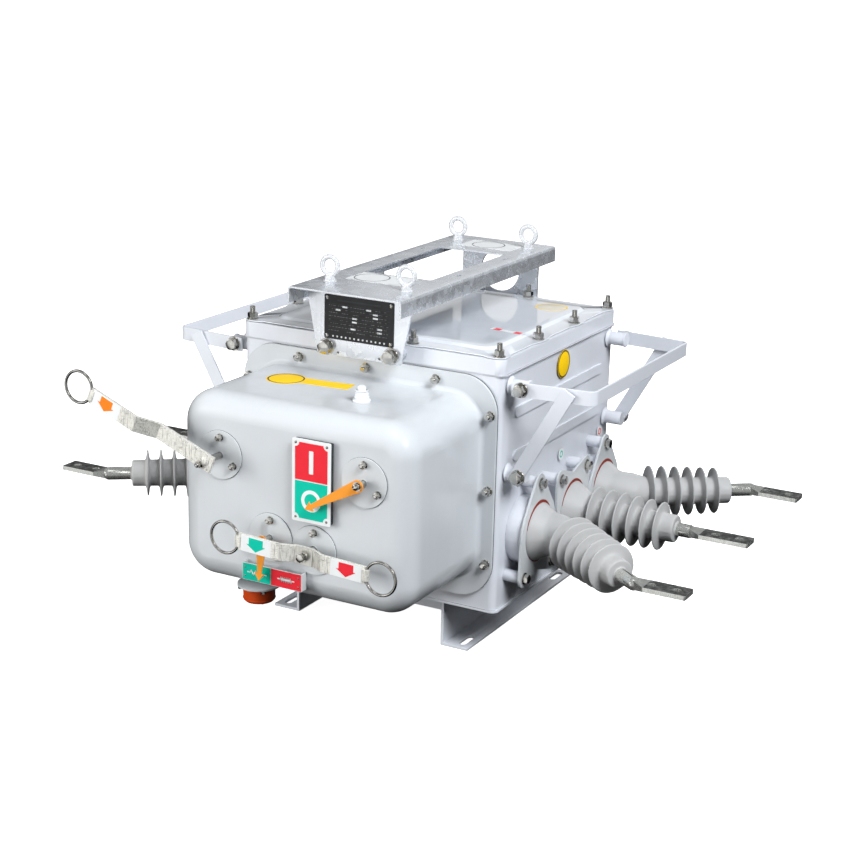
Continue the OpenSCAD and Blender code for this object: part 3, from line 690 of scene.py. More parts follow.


# Each finish: its colour, roughness from smooth to rough patches, grain (scale, height in mm), how
# far patches darken, worn edges with a painted highlight (radius in mm, amount, gain) and dirt on
# upward faces with painted corner shade. Then metal and coat as on the shader, the amounts of
# streaks and of painted dark reflection on level tops, spangle (scale, contrast, height in mm) and
# scratches (scale, amount, grit).
FINISHES = {
    "housing_paint": look(
        "housing", (0.34, 0.42), (420, 0.03), 0.02, (1.2, 0.35, 1.2), 0.2,
        streaks=0.05, coat=0.5,
    ),
    "cover_paint": look(
        "cover", (0.34, 0.4), (380, 0.025), 0.02, (1.2, 0.3, 1.2), 0.14,
        streaks=0.04, coat=0.7,
    ),
    "lid_paint": look("lid", (0.06, 0.1), (60, 0.012), 0.03, (1.0, 0.5, 1.3), 0.1, coat=1.0),
    "plate_paint": look("plate", (0.34, 0.4), (500, 0.015), 0.02, (0.8, 0.5, 1.2), 0.2, coat=0.6),
    "sign_white": look("white", (0.3, 0.38), (700, 0.006), 0.03, (0.6, 0.5, 0.8), 0.12, coat=0.2),
    "sign_red": look("red", (0.42, 0.5), (700, 0.006), 0.05, (0.5, 0.4, 1.3), 0.06),
    "sign_green": look("green", (0.42, 0.5), (700, 0.006), 0.05, (0.5, 0.4, 1.3), 0.06),
    "label_yellow": look("yellow", (0.5, 0.6), (600, 0.006), 0.05, (0.4, 0.4, 1.15), 0.06),
    "label_orange": look("orange", (0.45, 0.55), (600, 0.006), 0.06, (0.4, 0.5, 1.3), 0.08),
    "label_ink": look("ink", (0.45, 0.55), (600, 0.006), 0.15, (0.4, 0.6, 2.0), 0.08),
    "label_faded": look("faded", (0.3, 0.4), (600, 0.006), 0.08, (0.4, 0.4, 1.1), 0.1, coat=0.5),
    "backing_dark": look("backing", (0.6, 0.7), (400, 0.03), 0.14, (0.8, 0.3, 1.6), 0.1),
    "bright_steel": look(
        "steel", (0.08, 0.18), (900, 0.006), 0.2, (0.5, 0.6, 1.15), 0.1,
        metal=1.0, scratches=(1.2, 0.3, 0.0),
    ),
    "handle_steel": look(
        "tinned", (0.22, 0.4), (260, 0.06), 0.12, (0.8, 0.6, 1.2), 0.2,
        metal=0.35, scratches=(0.8, 0.85, 1.0),
    ),
    "hub_steel": look(
        "tinned", (0.3, 0.45), (260, 0.05), 0.12, (0.8, 0.6, 1.2), 0.2,
        metal=0.8, scratches=(0.8, 0.4, 0.4),
    ),
    "pointer_orange": look("pointer", (0.45, 0.55), (300, 0.015), 0.04, (0.6, 0.6, 1.2), 0.08),
    "galvanised": look(
        "zinc", (0.14, 0.26), (90, 0.002), 0.14, (1.6, 0.9, 1.3), 0.05,
        metal=0.72, spangle=(60, 0.13, 0.002), scratches=(0.25, 0.1, 0.0),
    ),
    "eye_zinc": look(
        "bright_zinc", (0.18, 0.3), (500, 0.01), 0.06, (0.8, 0.5, 1.15), 0.1,
        metal=0.4, spangle=(260, 0.05, 0.003),
    ),
    "nameplate_black": look(
        "black", (0.35, 0.45), (900, 0.006), 0.2, (0.5, 0.7, 3.2), 0.1,
        scratches=(1.4, 0.12, 0.0),
    ),
    "engraved_line": look("engraved", (0.3, 0.4), (900, 0.004), 0.4, (0.3, 0.3, 1.2), 0.1),
    "cap_orange": look("cap", (0.38, 0.5), (240, 0.03), 0.12, (1.2, 0.4, 1.2), 0.04),
    "vent_white": look("vent", (0.24, 0.36), (400, 0.012), 0.05, (0.8, 0.4, 0.8), 0.4),
    "silicone_grey": look(
        "silicone", (0.3, 0.42), (220, 0.02), 0.06, (1.0, 0.4, 1.15), 0.3,
        streaks=0.05,
    ),
    "tinned_copper": look(
        "copper", (0.12, 0.26), (120, 0.02), 0.2, (0.9, 0.9, 1.15), 0.1,
        metal=0.8, scratches=(0.6, 0.3, 0.0), spangle=(300, 0.06, 0.002), tarnish=0.95,
    ),
    "rubber_seal": look("rubber", (0.55, 0.75), (300, 0.03), 0.15, (0.5, 0.4, 1.6), 0.3),
    "gasket_red": look("gasket", (0.5, 0.7), (260, 0.04), 0.2, (0.5, 0.4, 1.4), 0.3),
}
# Tint of the darker tone that the dirt and the painted corner shade turn towards.
DUST_AND_SHADE_COLOUR = (0.62, 0.58, 0.52)
SCRATCH_DEPTH = 0.02
made_finishes = {}


def times(rgb, factor):
    return [min(1.0, c * factor) for c in rgb] + [1.0]


def finish(name):
    """The material of that name, made on first use."""
    if name in made_finishes:
        return made_finishes[name]
    recipe = FINISHES[name]
    made = bpy.data.materials.new(f"{name}_finish")
    made_finishes[name] = made
    made.use_nodes = True
    tree = made.node_tree
    shader = tree.nodes["Principled BSDF"]
    base = getattr(bpy.context.scene.breaker_colours, recipe["base"])
    made.diffuse_color = list(base) + [1.0]
    scale, high = recipe["grain"]
    grain = use(tree, "grain", scale=scale, patch_scale=scale / 30)
    tone = mix(tree, grain["Tone"], times(base, 1.0), times(base, 1 - recipe["tone"]))
    rough = remap(tree, grain["Tone"], 0, 1, *recipe["rough"])
    heights = [(grain["Height"], high)]

    def marked(mask, tone, rough, colour, roughness):
        """Turns the tone and the roughness towards those of a mark, where its mask is."""
        tone = mix(tree, mask, tone, colour)
        if roughness:
            rough = maths(tree, "ADD", rough, maths(tree, "MULTIPLY", mask, roughness), True)
        return tone, rough

    if "spangle" in recipe:
        scale, contrast, high = recipe["spangle"]
        crystal = use(tree, "spangle", scale=scale)
        darker = remap(tree, crystal["Tone"], 0, 1, 1 - contrast, 1 + contrast * 0.4)
        tone = scaled(tree, tone, darker)
        rough = maths(tree, "ADD", rough, remap(tree, crystal["Tone"], 0, 1, -0.06, 0.1), True)
        heights.append((crystal["Height"], high))
    if "scratches" in recipe:
        scale, amount, grit = recipe["scratches"]
        marks = use(tree, "scratches", scale=scale, amount=amount, grit=grit)
        tone, rough = marked(marks["Mask"], tone, rough, times(base, 0.22), 0.3)
        heights.append((marks["Height"], SCRATCH_DEPTH))
    # Streaks are real runs of dirt; the second mask is a painted dark reflection on level tops.
    for kind, shade, roughness in (("streaks", 0.72, 0.35), ("tarnish", 0.04, 0.4)):
        if kind in recipe:
            mask = use(tree, kind, amount=recipe[kind])["Mask"]
            tone, rough = marked(mask, tone, rough, times(base, shade), roughness)
    # Edges move towards the base times the gain: some wear, and a painted highlight where the gain
    # lightens them.
    radius, amount, gain = recipe["wear"]
    worn_and_lit = use(tree, "wear", radius=radius * MM, amount=amount)
    tone, rough = marked(worn_and_lit["Mask"], tone, rough, times(base, gain), 0)
    # Dirt on upward faces and painted shade in corners both pull the tone darker.
    dusted_and_shaded = use(tree, "dust", amount=recipe["dust"])
    grime_and_shade = [0.3 * c + 0.12 * d for c, d in zip(base, DUST_AND_SHADE_COLOUR)] + [1.0]
    tone, rough = marked(dusted_and_shaded["Mask"], tone, rough, grime_and_shade, 0.35)
    tree.links.new(tone, shader.inputs["Base Color"])
    tree.links.new(rough, shader.inputs["Roughness"])
    normal = None
    for height, millimetres in heights:
        into = {"Height": height, "Distance": millimetres * MM, "Strength": 0.8}
        if normal:
            into["Normal"] = normal
        normal = node(tree, "Bump", into).outputs[0]
    tree.links.new(normal, shader.inputs["Normal"])
    shader.inputs["Metallic"].default_value = recipe.get("metal", 0.0)
    shader.inputs["Coat Weight"].default_value = recipe.get("coat", 0.0)
    shader.inputs["Coat Roughness"].default_value = 0.06
    return made


# ---------------------------------------------------------------- helpers for the pieces


def seat(node, start, direction):
    """Where a line meets a node of the part first."""
    hit, where, _, _ = frame["nodes"][node].ray_cast(Vector(start), Vector(direction))
    if not hit:
        raise ValueError(f"the line from {tuple(start)} misses {node}")
    return where


def cut(shape, *cutters):
    """A shape with others taken out of it."""
    made = []
    for k, (points, faces) in enumerate((shape,) + cutters):
        mesh = bpy.data.meshes.new(f"cutting_{k}")
        mesh.from_pydata([tuple(p) for p in points], [], faces)
        piece = bpy.data.objects.new(mesh.name, mesh)
        bpy.context.scene.collection.objects.link(piece)
        made.append(piece)
    for tool in made[1:]:
        step = made[0].modifiers.new("Cut", "BOOLEAN")
        step.operation = "DIFFERENCE"
        step.solver = "EXACT"
        step.object = tool
    bpy.context.view_layer.update()
    ready = made[0].evaluated_get(bpy.context.evaluated_depsgraph_get()).to_mesh()
    points = [v.co.copy() for v in ready.vertices]
    faces = [tuple(p.vertices) for p in ready.polygons]
    for piece in made:
        mesh = piece.data
        bpy.data.objects.remove(piece)
        bpy.data.meshes.remove(mesh)
    return points, faces


def shift(x=0.0, y=0.0, z=0.0):
    return Matrix.Translation((x, y, z))


def turned(radians, axis="Z"):
    return Matrix.Rotation(radians, 4, axis)


def on_front(x, y, z, spin=0.0):
    """A place on a face that looks forwards: +Z out of it, +X to the right, +Y up."""
    turn = Matrix(((1, 0, 0), (0, 0, -1), (0, 1, 0))).to_4x4()
    return shift(x, y, z) @ turn @ turned(spin)


def on_side(x, y, z, side):
    """A place on a face that looks to one side: +Z out of it, +Y up."""
    out = Vector((side, 0, 0))
    return shift(x, y, z) @ Matrix((UP.cross(out), UP, out)).transposed().to_4x4()


def on_top(x, y, z, degrees=0.0):
    """A place on a level face, turned by some degrees."""
    return shift(x, y, z) @ turned(math.radians(degrees))


def panel(wide, high, radius, corner, thick, bevel=0.0):
    """A rounded rectangle with some thickness, all in metres."""
    return plate(round_rect(wide, high, radius, corner), thick, bevel)


def disc(radius, thick, inset, low=0.7, n=48):
    """A round film whose edge is eased above a share of its thickness."""
    return lathe([(radius, 0), (radius, thick * low), (radius - inset, thick)], n)


def slot_outline(length, width, n=8):
    ends = [polar(width / 2, math.pi * (t - 0.5)) for t in shares(n)]
    outline = [((length - width) / 2 + x, y) for x, y in ends]
    return outline + [(-x, -y) for x, y in outline]


def ring_plate(outer, inner, thick, n=48):
    lip = min(thick * 0.3, 0.3 * MM)
    low = [(inner, 0), (outer, 0), (outer, thick - lip)]
    return washer_ring(low + [(outer - lip, thick), (inner, thick)], n)


def frame_around(outer, inner, low, high):
    """A closed band between two outlines of equally many points."""
    corners = ((outer, low), (outer, high), (inner, high), (inner, low))
    return skin([level(outline, z) for outline, z in corners], ring=True)


def swell(t):
    """Runs from 0 to 1 with level ends."""
    return t * t * (3 - 2 * t)


def arrow(length, width, stem, thick):
    """A flat arrow that points down."""
    right = [(width / 2, 0), (stem / 2, 0), (stem / 2, length / 2)]
    return plate([(0, -length / 2)] + right + [(-x, y) for x, y in reversed(right)], thick)


def along_bar(origin, bearing, out, front):
    """A place on a handle bar's front face: +X out along the bar, +Z forwards."""
    x, z = polar(out, bearing)
    return on_front(origin.x + x, front, origin.z + z, bearing)


def bar_end(origin, ring):
    """Which way a handle's bar points to its ring, the bar's length, and the ring's depth."""
    at = middle(ring)
    across, up = at.x - origin.x, at.z - origin.z
    length = math.hypot(up, across) - (ring[1].x - ring[0].x) / 2
    return math.atan2(up, across), length, at.y


def ring_clamp(origin, bearing, end, y):
    """The folded end of a bar that holds its ring."""
    fold = [polar(5.4 * MM, math.pi * (t - 0.5)) for t in shares(10)]
    outline = [(-8 * MM, -4.6 * MM)] + fold + [(-8 * MM, 4.6 * MM)]
    block = skin([[Vector((x, side * 11 * MM, z)) for x, z in outline] for side in (-1, 1)])
    return place(block, along_bar(origin, bearing, end + 3 * MM, y))


def slotted_head(radius, high, slot, deep):
    """A screw head with a driver slot across it."""
    bar = panel(radius * 3, slot, slot * 0.2, 2, deep * 2)
    return cut(pan_screw(radius, high), place(bar, shift(z=high - deep)))


def notched(wide, high, notch, up):
    """A panel whose two outer corners are hollowed by quarter rounds."""
    outline = [(wide / 2, -high / 2)]
    for corner, start in ((wide / 2, 270), (-wide / 2, 0)):
        bites = [polar(notch, math.radians(start - 90 * t)) for t in shares(6)]
        outline += [(corner + x, high / 2 + y) for x, y in bites]
    outline.append((-wide / 2, -high / 2))
    return outline if up else [(-x, -y) for x, y in outline]


def spring_mark(long, tall, turns, thick):
    """A zigzag line, as springs are drawn."""
    half, lead = 1.1 * MM, 6 * MM
    points = [(-long / 2 - lead, 0), (-long / 2, 0)]
    for k in range(2 * turns):
        points.append(((k + 0.5) * long / (2 * turns) - long / 2, tall / 2 * (-1) ** k))
    points += [(long / 2, 0), (long / 2 + lead, 0)]
    strokes = []
    for a, b in zip(points, points[1:]):
        a, b = Vector(a), Vector(b)
        ahead = (b - a).normalized() * half
        side = Vector((-ahead.y, ahead.x))
        a, b = a - ahead * 0.6, b + ahead * 0.6
        strokes.append(plate([a - side, b - side, b + side, a + side], thick))
    return merge(*strokes)


def toward(right, above):
    """A direction, from how far right of the front and how far up it is, in degrees."""
    flat, up = polar(1.0, math.radians(above))
    y, x = polar(flat, math.radians(right))
    return Vector((x, -y, up))


class Dressing:
    """What the operators share: each makes its pieces from the sizes in the side panel."""

    bl_options = {"REGISTER", "UNDO"}

    def execute(self, context):
        self.make(context.scene.breaker_sizes)
        return {"FINISHED"}


# ---------------------------------------------------------------- operators


class BREAKER_OT_tank(Dressing, bpy.types.Operator):
    """Paints the tank and its feet, and sticks the round labels on its sides"""

    bl_idname = "breaker.tank"
    bl_label = "Tank and feet"
    corner = 14 * MM

    def make(self, s):
        dress("tank_body", "housing_paint")
        dress("tank_rim", "housing_paint", 1.5 * MM)
        tank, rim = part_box("tank_body"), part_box("tank_rim")
        for name, side in SIDES:
            dress(f"{name}_foot", "housing_paint", s.edge_r)
            self.side_labels(s, name, side, tank[1], rim[0].z)
        self.seam(tank, rim)
        self.underside(s, tank)
        self.foot_welds(tank)

    def side_labels(self, s, name, side, half, rim_z):
        """A round label under the rim, and a dot for each phase by the turrets."""
        where = on_side(side * half.x, 6 * MM, rim_z - 1.17 * s.spot_r, side)
        film = disc(s.spot_r, s.label_t, s.spot_r * 0.01)
        ring = ring_plate(s.spot_r * 0.97, s.spot_r * 0.87, s.label_t * 1.25)
        stick(f"{name}_round_label", (film, where, "label_yellow"), (ring, where, "label_ink"))
        dot = disc(12.5 * MM, s.label_t * 1.1, 0.3 * MM, 1 / 1.1, 36)
        mark = ring_plate(7.4 * MM, 4.6 * MM, s.label_t * 1.4, 36)
        dot_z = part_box("right_turrets")[1].z - 4 * MM
        films = []
        for along, ink in ((-0.66, "label_yellow"), (0.05, "sign_green"), (0.78, "sign_red")):
            where = on_side(side * half.x, along * half.y, dot_z, side)
            films += [(dot, where, "sign_white"), (mark, where, ink)]
        stick(f"{name}_phase_dots", *films)

    def seam(self, tank, rim):
        """The folded seam under the rim band."""
        band = []
        for out, down in mm((0.2, 0.0), (2.6, 0.0), (2.2, 1.6), (0.2, 4.2)):
            outline = round_rect(2 * (tank[1].x + out), 2 * (tank[1].y + out), self.corner + out, 8)
            band.append(level(outline, rim[0].z - down))
        solid("rim_seam", "housing_paint", [skin(band, ring=True)])

    def underside(self, s, tank):
        """The bottom sheet's lip and the folded bars that join the feet."""
        half, base, inset = tank[1], tank[0].z, 10 * MM
        outer = round_rect(2 * half.x, 2 * half.y, self.corner, 8)
        inner = round_rect(2 * (half.x - inset), 2 * (half.y - inset), self.corner - inset, 8)
        shapes = [frame_around(outer, inner, base - s.lip_high, base - 0.7 * MM)]
        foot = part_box("right_foot")
        reach = foot[0].x - 0.2 * MM
        t, tall, fold = s.frame_sheet, s.bar_high, 18 * MM
        profile = [(0, 0), (t, 0), (t, t - tall), (fold, t - tall), (fold, -tall), (2 * MM, -tall)]
        profile += [(0.6 * MM, 0.6 * MM - tall), (0, 2 * MM - tall)]
        for front in (-1, 1):
            ends = []
            for x in (-reach * front, reach * front):
                points = [(x, front * (foot[1].y - y), base - 0.2 * MM + z) for y, z in profile]
                ends.append([Vector(p) for p in points])
            shapes.append(skin(ends))
        solid("tank_underside", "housing_paint", shapes, bevel=0.4 * MM)

    def foot_welds(self, tank):
        """Weld beads where the feet meet the tank's bottom."""
        beads = []
        for name, side in SIDES:
            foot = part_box(f"{name}_foot")
            x = (foot[0].x if side > 0 else foot[1].x) - side * 0.6 * MM
            for along in (-0.72, -0.24, 0.24, 0.72):
                path = []
                for k in range(-7, 8):
                    ripple = (0.7 if k % 2 == 0 else 1.2) * MM
                    path.append((x, along * foot[1].y + k * 4.2 * MM, tank[0].z - ripple))
                beads.append(tube(path, 2.2 * MM, 8))
        solid("foot_welds", "housing_paint", beads)


class BREAKER_OT_lid(Dressing, bpy.types.Operator):
    """Makes the pressed lid with its notched edge, its seal and its studs"""

    bl_idname = "breaker.lid"
    bl_label = "Lid and studs"
    corner = 16 * MM
    sheet_rise = 3 * MM

    def make(self, s):
        low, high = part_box("lid")
        top = low.z + self.sheet_rise
        rows = (-1, -1 / 3, 1 / 3, 1)
        self.studs_x = [k * (high.x - s.stud_inset) for k in rows]
        self.studs_y = [k * (high.y - s.stud_inset + 1 * MM) for k in rows]
        edges = ((0, top - s.lid_sheet), (0, top - 0.5 * MM), (0.5 * MM, top))
        loops = [self.edge(s, high, inset, z) for inset, z in edges]
        for t in shares(7):
            out = (5 - 10 * t) * MM
            z = top + (high.z - top) * swell(t) - 0.05 * MM * t
            loops.append(level(self.outline(high, 47 * MM - out, 26 * MM + out), z))
        for inset, radius, down in mm((71, 14, 0.4), (137, 12, 0.1)):
            loops.append(level(self.outline(high, inset, radius), high.z - down))
        solid("lid_sheet", "lid_paint", [skin(loops)], smooth=40, node="lid")
        inner, outer = (self.outline(high, inset, r) for inset, r in mm((24, 12), (8.5, 14)))
        band = frame_around(outer, inner, low.z, top - s.lid_sheet)
        solid("lid_seal", "backing_dark", [band], "rubber_seal")
        self.stud_set(s, top)
        self.labels(s, high)

    def outline(self, half, inset, radius):
        """A rounded rectangle inside the lid's edge, with points enough for the notches."""
        return round_rect(2 * (half.x - inset), 2 * (half.y - inset), radius, 6, 36)

    def edge(self, s, half, inset, z):
        """The lid's edge, which steps back between the studs."""
        loop = level(self.outline(half, inset, self.corner), z)
        for p in loop:
            if abs(abs(p.y) - (half.y - inset)) < ON_EDGE:
                p.y -= math.copysign(s.lid_notch * self.between(p.x, self.studs_x), p.y)
            elif abs(abs(p.x) - (half.x - inset)) < ON_EDGE:
                p.x -= math.copysign(s.lid_notch * self.between(p.y, self.studs_y), p.x)
        return loop

    def between(self, value, studs):
        """0 at a stud, and 1 well away from all of them."""
        clear, slope = 22 * MM, 11 * MM
        near = min(abs(value - k) for k in studs)
        return swell(min(1.0, max(0.0, (near - clear) / slope)))

    def stud_set(self, s, top):
        """Studs all along the edge, four to a side."""
        x_end, y_end = self.studs_x[-1], self.studs_y[-1]
        spots = [(x, y) for x in self.studs_x for y in (-y_end, y_end)]
        spots += [(x, y) for x in (-x_end, x_end) for y in self.studs_y[1:3]]
        stud = nut_on_stud(s.lid_nut, s.stud_rise)
        nuts = [place(stud, facing((x, y, top), UP, 0.4 * k)) for k, (x, y) in enumerate(spots)]
        solid("lid_studs", "bright_steel", nuts)

    def labels(self, s, high):
        """A faint round label and a narrow strip, both plain."""
        film = disc(35 * MM, s.label_t * 0.8, 0.4 * MM, 0.75)
        ring = ring_plate(34 * MM, 31.5 * MM, s.label_t * 0.95)
        where = on_top(186 * MM, 172 * MM, high.z - 0.4 * MM)
        stick("lid_round_label", (film, where, "label_faded"), (ring, where, "label_yellow"))
        strip = panel(78 * MM, 13 * MM, 1 * MM, 3, s.label_t * 0.8)
        stripe = panel(16 * MM, 13 * MM, 0.5 * MM, 2, s.label_t)
        where = on_top(207 * MM, -77 * MM, high.z - 0.35 * MM, -8)
        stripes = [(stripe, where @ shift(x * MM), "sign_red") for x in (-24, 24)]
        stick("lid_strip_label", (strip, where, "sign_white"), *stripes)


class BREAKER_OT_cover(Dressing, bpy.types.Operator):
    """Paints the mechanism cover, and adds its seal, its pressed foot, its nuts and its label"""

    bl_idname = "breaker.cover"
    bl_label = "Mechanism cover"
    dome_corner = 65 * MM

    def make(self, s):
        dress("mechanism_cover", "cover_paint")
        dress("cover_flange", "cover_paint", 1.2 * MM)
        flange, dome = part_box("cover_flange"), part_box("mechanism_cover")
        centre = middle(flange)
        self.foot(dome, on_front(centre.x, flange[0].y, centre.z))
        self.seal(flange, centre)
        self.nuts(s, flange, centre)
        self.label(s, dome)

    def foot(self, dome, where):
        """The curve by which the pressed dome runs out into the flange."""
        wide, high = dome[1].x - dome[0].x, dome[1].z - dome[0].z
        radius, hidden = 9 * MM, 2 * MM
        loops = []
        for t in shares(7):
            x, y = polar(radius, math.pi / 2 * t)
            out, up = radius - x, radius - y
            outline = round_rect(wide + 2 * out, high + 2 * out, self.dome_corner + out, 12)
            loops.append(level(outline, up - 0.1 * MM))
        inside = round_rect(wide - 2 * hidden, high - 2 * hidden, self.dome_corner - hidden, 12)
        loops += [level(inside, z) for z in (-0.2 * MM, radius)]
        shape = place(skin(loops, ring=True), where)
        solid("cover_foot", "housing_paint", [shape], "cover_paint", smooth=50)

    def seal(self, flange, centre):
        """The seal that shows behind the flange's edge."""
        wide, high = flange[1].x - flange[0].x, flange[1].z - flange[0].z
        outer = round_rect(wide + 1 * MM, high + 1 * MM, 73.5 * MM, 12)
        inner = round_rect(wide - 12 * MM, high - 12 * MM, 67 * MM, 12)
        band = frame_around(outer, inner, 0.05 * MM, 1.6 * MM)
        shape = place(band, on_front(centre.x, flange[1].y, centre.z))
        solid("cover_seal", "backing_dark", [shape], "rubber_seal")

    def nuts(self, s, flange, centre):
        """Three nuts along each edge of the flange, spaced in shares of its half size."""
        half = (flange[1] - flange[0]) / 2
        x_side, z_row = half.x - s.cover_nut_inset, half.z - s.cover_nut_inset * 1.44
        at = [(k * 0.54 * half.x, side * z_row) for k in (-1, 0, 1) for side in (-1, 1)]
        at += [(side * x_side, k * 0.67 * half.z) for k in (-1, 0, 1) for side in (-1, 1)]
        nut = nut_on_stud(s.cover_nut, s.cover_nut * 1.05)
        nuts = []
        for k, (x, z) in enumerate(at):
            nuts.append(place(nut, on_front(centre.x + x, flange[0].y, centre.z + z, 0.35 * k)))
        solid("cover_nuts", "bright_steel", nuts)

    def label(self, s, dome):
        """A plain round label with a strip, on top of the dome."""
        film = disc(39 * MM, s.label_t, 0.4 * MM)
        ring = ring_plate(36.5 * MM, 33.5 * MM, s.label_t * 1.3)
        strip = panel(112 * MM, 38 * MM, 2 * MM, 3, s.label_t * 0.9)
        where = on_top(-122 * MM, -372 * MM, dome[1].z, 5)
        beside = (strip, where @ shift(82 * MM, 3 * MM), "label_yellow")
        stick("cover_label", (film, where, "label_yellow"), (ring, where, "label_ink"), beside)


class BREAKER_OT_bearings(Dressing, bpy.types.Operator):
    """Fixes the four bearing plates with three nuts each"""

    bl_idname = "breaker.bearings"
    bl_label = "Bearing plates"
    plate_t = 3 * MM

    def make(self, s):
        dress("bearing_plates", "plate_paint", 0.7 * MM)
        dome_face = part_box("mechanism_cover")[0].y
        nut = nut_on_stud(s.plate_nut, s.plate_nut * 1.05)
        nuts, seals = [], []
        for low, high in islands("bearing_plates"):
            centre = (low + high) / 2
            radius = (high.x - low.x) / 2
            for k, a in enumerate(around(3, math.pi / 2)):
                x, z = polar(s.plate_nut_circle, a)
                seat_y = dome_face - self.plate_t
                nuts.append(place(nut, on_front(centre.x + x, seat_y, centre.z + z, a + k)))
            seal = ring_plate(radius + 0.5 * MM, radius - 6 * MM, 0.8 * MM)
            seals.append(place(seal, on_front(centre.x, dome_face, centre.z)))
        solid("bearing_nuts", "bright_steel", nuts)
        solid("bearing_seals", "backing_dark", seals, "rubber_seal")


class BREAKER_OT_charging_handle(Dressing, bpy.types.Operator):
    """Finishes the charging handle: label, clamp on the ring, and the screw at its shaft"""

    bl_idname = "breaker.charging_handle"
    bl_label = "Charging handle"

    def make(self, s):
        dress("charging_handle", "handle_steel", s.edge_r)
        dress("charging_ring", "bright_steel")
        dress("charging_shaft", "bright_steel", 0.6 * MM)
        origin = pivot("charging_hinge")
        bearing, end, ring_y = bar_end(origin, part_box("charging_ring"))
        where = along_bar(origin, bearing, end - 36 * MM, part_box("charging_handle")[0].y)
        film = panel(66 * MM, s.bar_w - 1 * MM, 1.5 * MM, 4, s.label_t)
        sign = place(arrow(26 * MM, 40 * MM, 28 * MM, s.label_t * 1.5), turned(math.pi))
        films = (film, where, "sign_white"), (sign, where, "label_orange")
        stick("charging_label", *films, body="charging_lever")
        clamp = ring_clamp(origin, bearing, end, ring_y)
        solid("charging_clamp", "handle_steel", [clamp], body="charging_lever", bevel=0.8 * MM)
        self.shaft_end(s, origin, bearing)

    def shaft_end(self, s, origin, bearing):
        """The shaft's riveted end, and the cap nut of the clamping screw at the bar's lower edge."""
        seat_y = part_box("charging_handle")[1].y - s.bar_t
        head = lathe(mm((8.5, 0), (8.2, 1.4), (6, 2.8), (2, 3.2)), 28)
        cap = lathe(mm((5.6, 5), (5.4, 7.6), (4.2, 10), (2, 11.4)), 24)
        nut = merge(flat_washer(7.6 * MM, 1.2 * MM), hex_body(12 * MM, 4 * MM, 1.2 * MM), cap)
        where = along_bar(origin, bearing, 8.6 * MM, seat_y) @ shift(y=10.9 * MM)
        parts = [(place(head, on_front(origin.x, seat_y, origin.z)), "handle_steel")]
        parts.append((place(nut, where), "bright_steel"))
        build("charging_shaft_end", "charging_lever", "bright_steel", parts)


class BREAKER_OT_switch_handle(Dressing, bpy.types.Operator):
    """Finishes the two-ended switching handle: labels, clamps, hub plate and screw"""

    bl_idname = "breaker.switch_handle"
    bl_label = "Switching handle"

    def make(self, s):
        dress("switch_handle", "handle_steel", s.edge_r)
        dress("switch_rings", "bright_steel")
        dress("switch_shaft", "bright_steel", 0.6 * MM)
        origin = pivot("switch_hinge")
        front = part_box("switch_handle")[0].y
        film = panel(66 * MM, s.bar_w - 1 * MM, 1.5 * MM, 4, s.label_t)
        sign = arrow(26 * MM, 42 * MM, 31 * MM, s.label_t * 1.5)
        films, clamps = [], []
        for ring, ink in zip(islands("switch_rings"), ("sign_green", "sign_red")):
            bearing, end, ring_y = bar_end(origin, ring)
            where = along_bar(origin, bearing, end - 39 * MM, front)
            upright = where if middle(ring).x > origin.x else where @ turned(math.pi)
            films += [(film, where, "sign_white"), (sign, upright, ink)]
            clamps.append(ring_clamp(origin, bearing, end, ring_y))
        stick("switch_labels", *films, body="switch_lever")
        solid("switch_clamps", "handle_steel", clamps, body="switch_lever", bevel=0.8 * MM)
        self.hub(s, origin)

    def hub(self, s, origin):
        """A square plate with a bolt in the middle."""
        plate_t = 3 * MM
        seat_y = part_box("switch_handle")[1].y - s.bar_t
        where = on_front(origin.x, seat_y, origin.z, math.radians(-3))
        square = panel(37 * MM, 33.5 * MM, 1.5 * MM, 4, plate_t, 0.5 * MM)
        tip = seat_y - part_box("switch_shaft")[0].y
        head = place(bolt(15 * MM), shift(z=max(tip, plate_t)))
        parts = [(place(square, where), "hub_steel"), (place(head, where), "bright_steel")]
        build("switch_hub", "switch_lever", "handle_steel", parts)


class BREAKER_OT_pointers(Dressing, bpy.types.Operator):
    """Finishes the two orange pointers, with a washer and a slotted screw on each"""

    bl_idname = "breaker.pointers"
    bl_label = "Pointers"

    def make(self, s):
        for joint, body, blade, shaft in (
            ("position_hinge", "position_needle", "position_pointer", "position_shaft"),
            ("charge_hinge", "charge_needle", "gauge_pointer", "gauge_shaft"),
        ):
            dress(blade, "pointer_orange", 0.35 * MM)
            dress(shaft, "bright_steel", 0.5 * MM)
            at = pivot(joint)
            face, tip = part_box(blade)[0].y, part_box(shaft)[0].y
            head = slotted_head(6.6 * MM, 4.2 * MM, 1.5 * MM, 1.7 * MM)
            back = on_front(at.x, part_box(blade)[1].y, at.z) @ turned(math.pi, "X")
            stack = max(0.0, face - tip) + 0.1 * MM
            shapes = [
                place(flat_washer(9 * MM, 1.2 * MM), on_front(at.x, face, at.z)),
                place(head, on_front(at.x, face - stack, at.z, 0.5)),
                place(hex_body(14 * MM, 5 * MM), back @ shift(z=0.1 * MM)),
            ]
            solid(f"{blade}_screw", "bright_steel", shapes, body=body)


def corner_rivets(box, inset, radius, high):
    """Rivets at the four corners of a sign's front, as films."""
    centre, half = middle(box), (box[1] - box[0]) / 2
    head = rivet(radius, high)
    return [
        (head, on_front(centre.x + x, box[0].y, centre.z + z), "bright_steel")
        for x in (inset - half.x, half.x - inset)
        for z in (inset - half.z, half.z - inset)
    ]


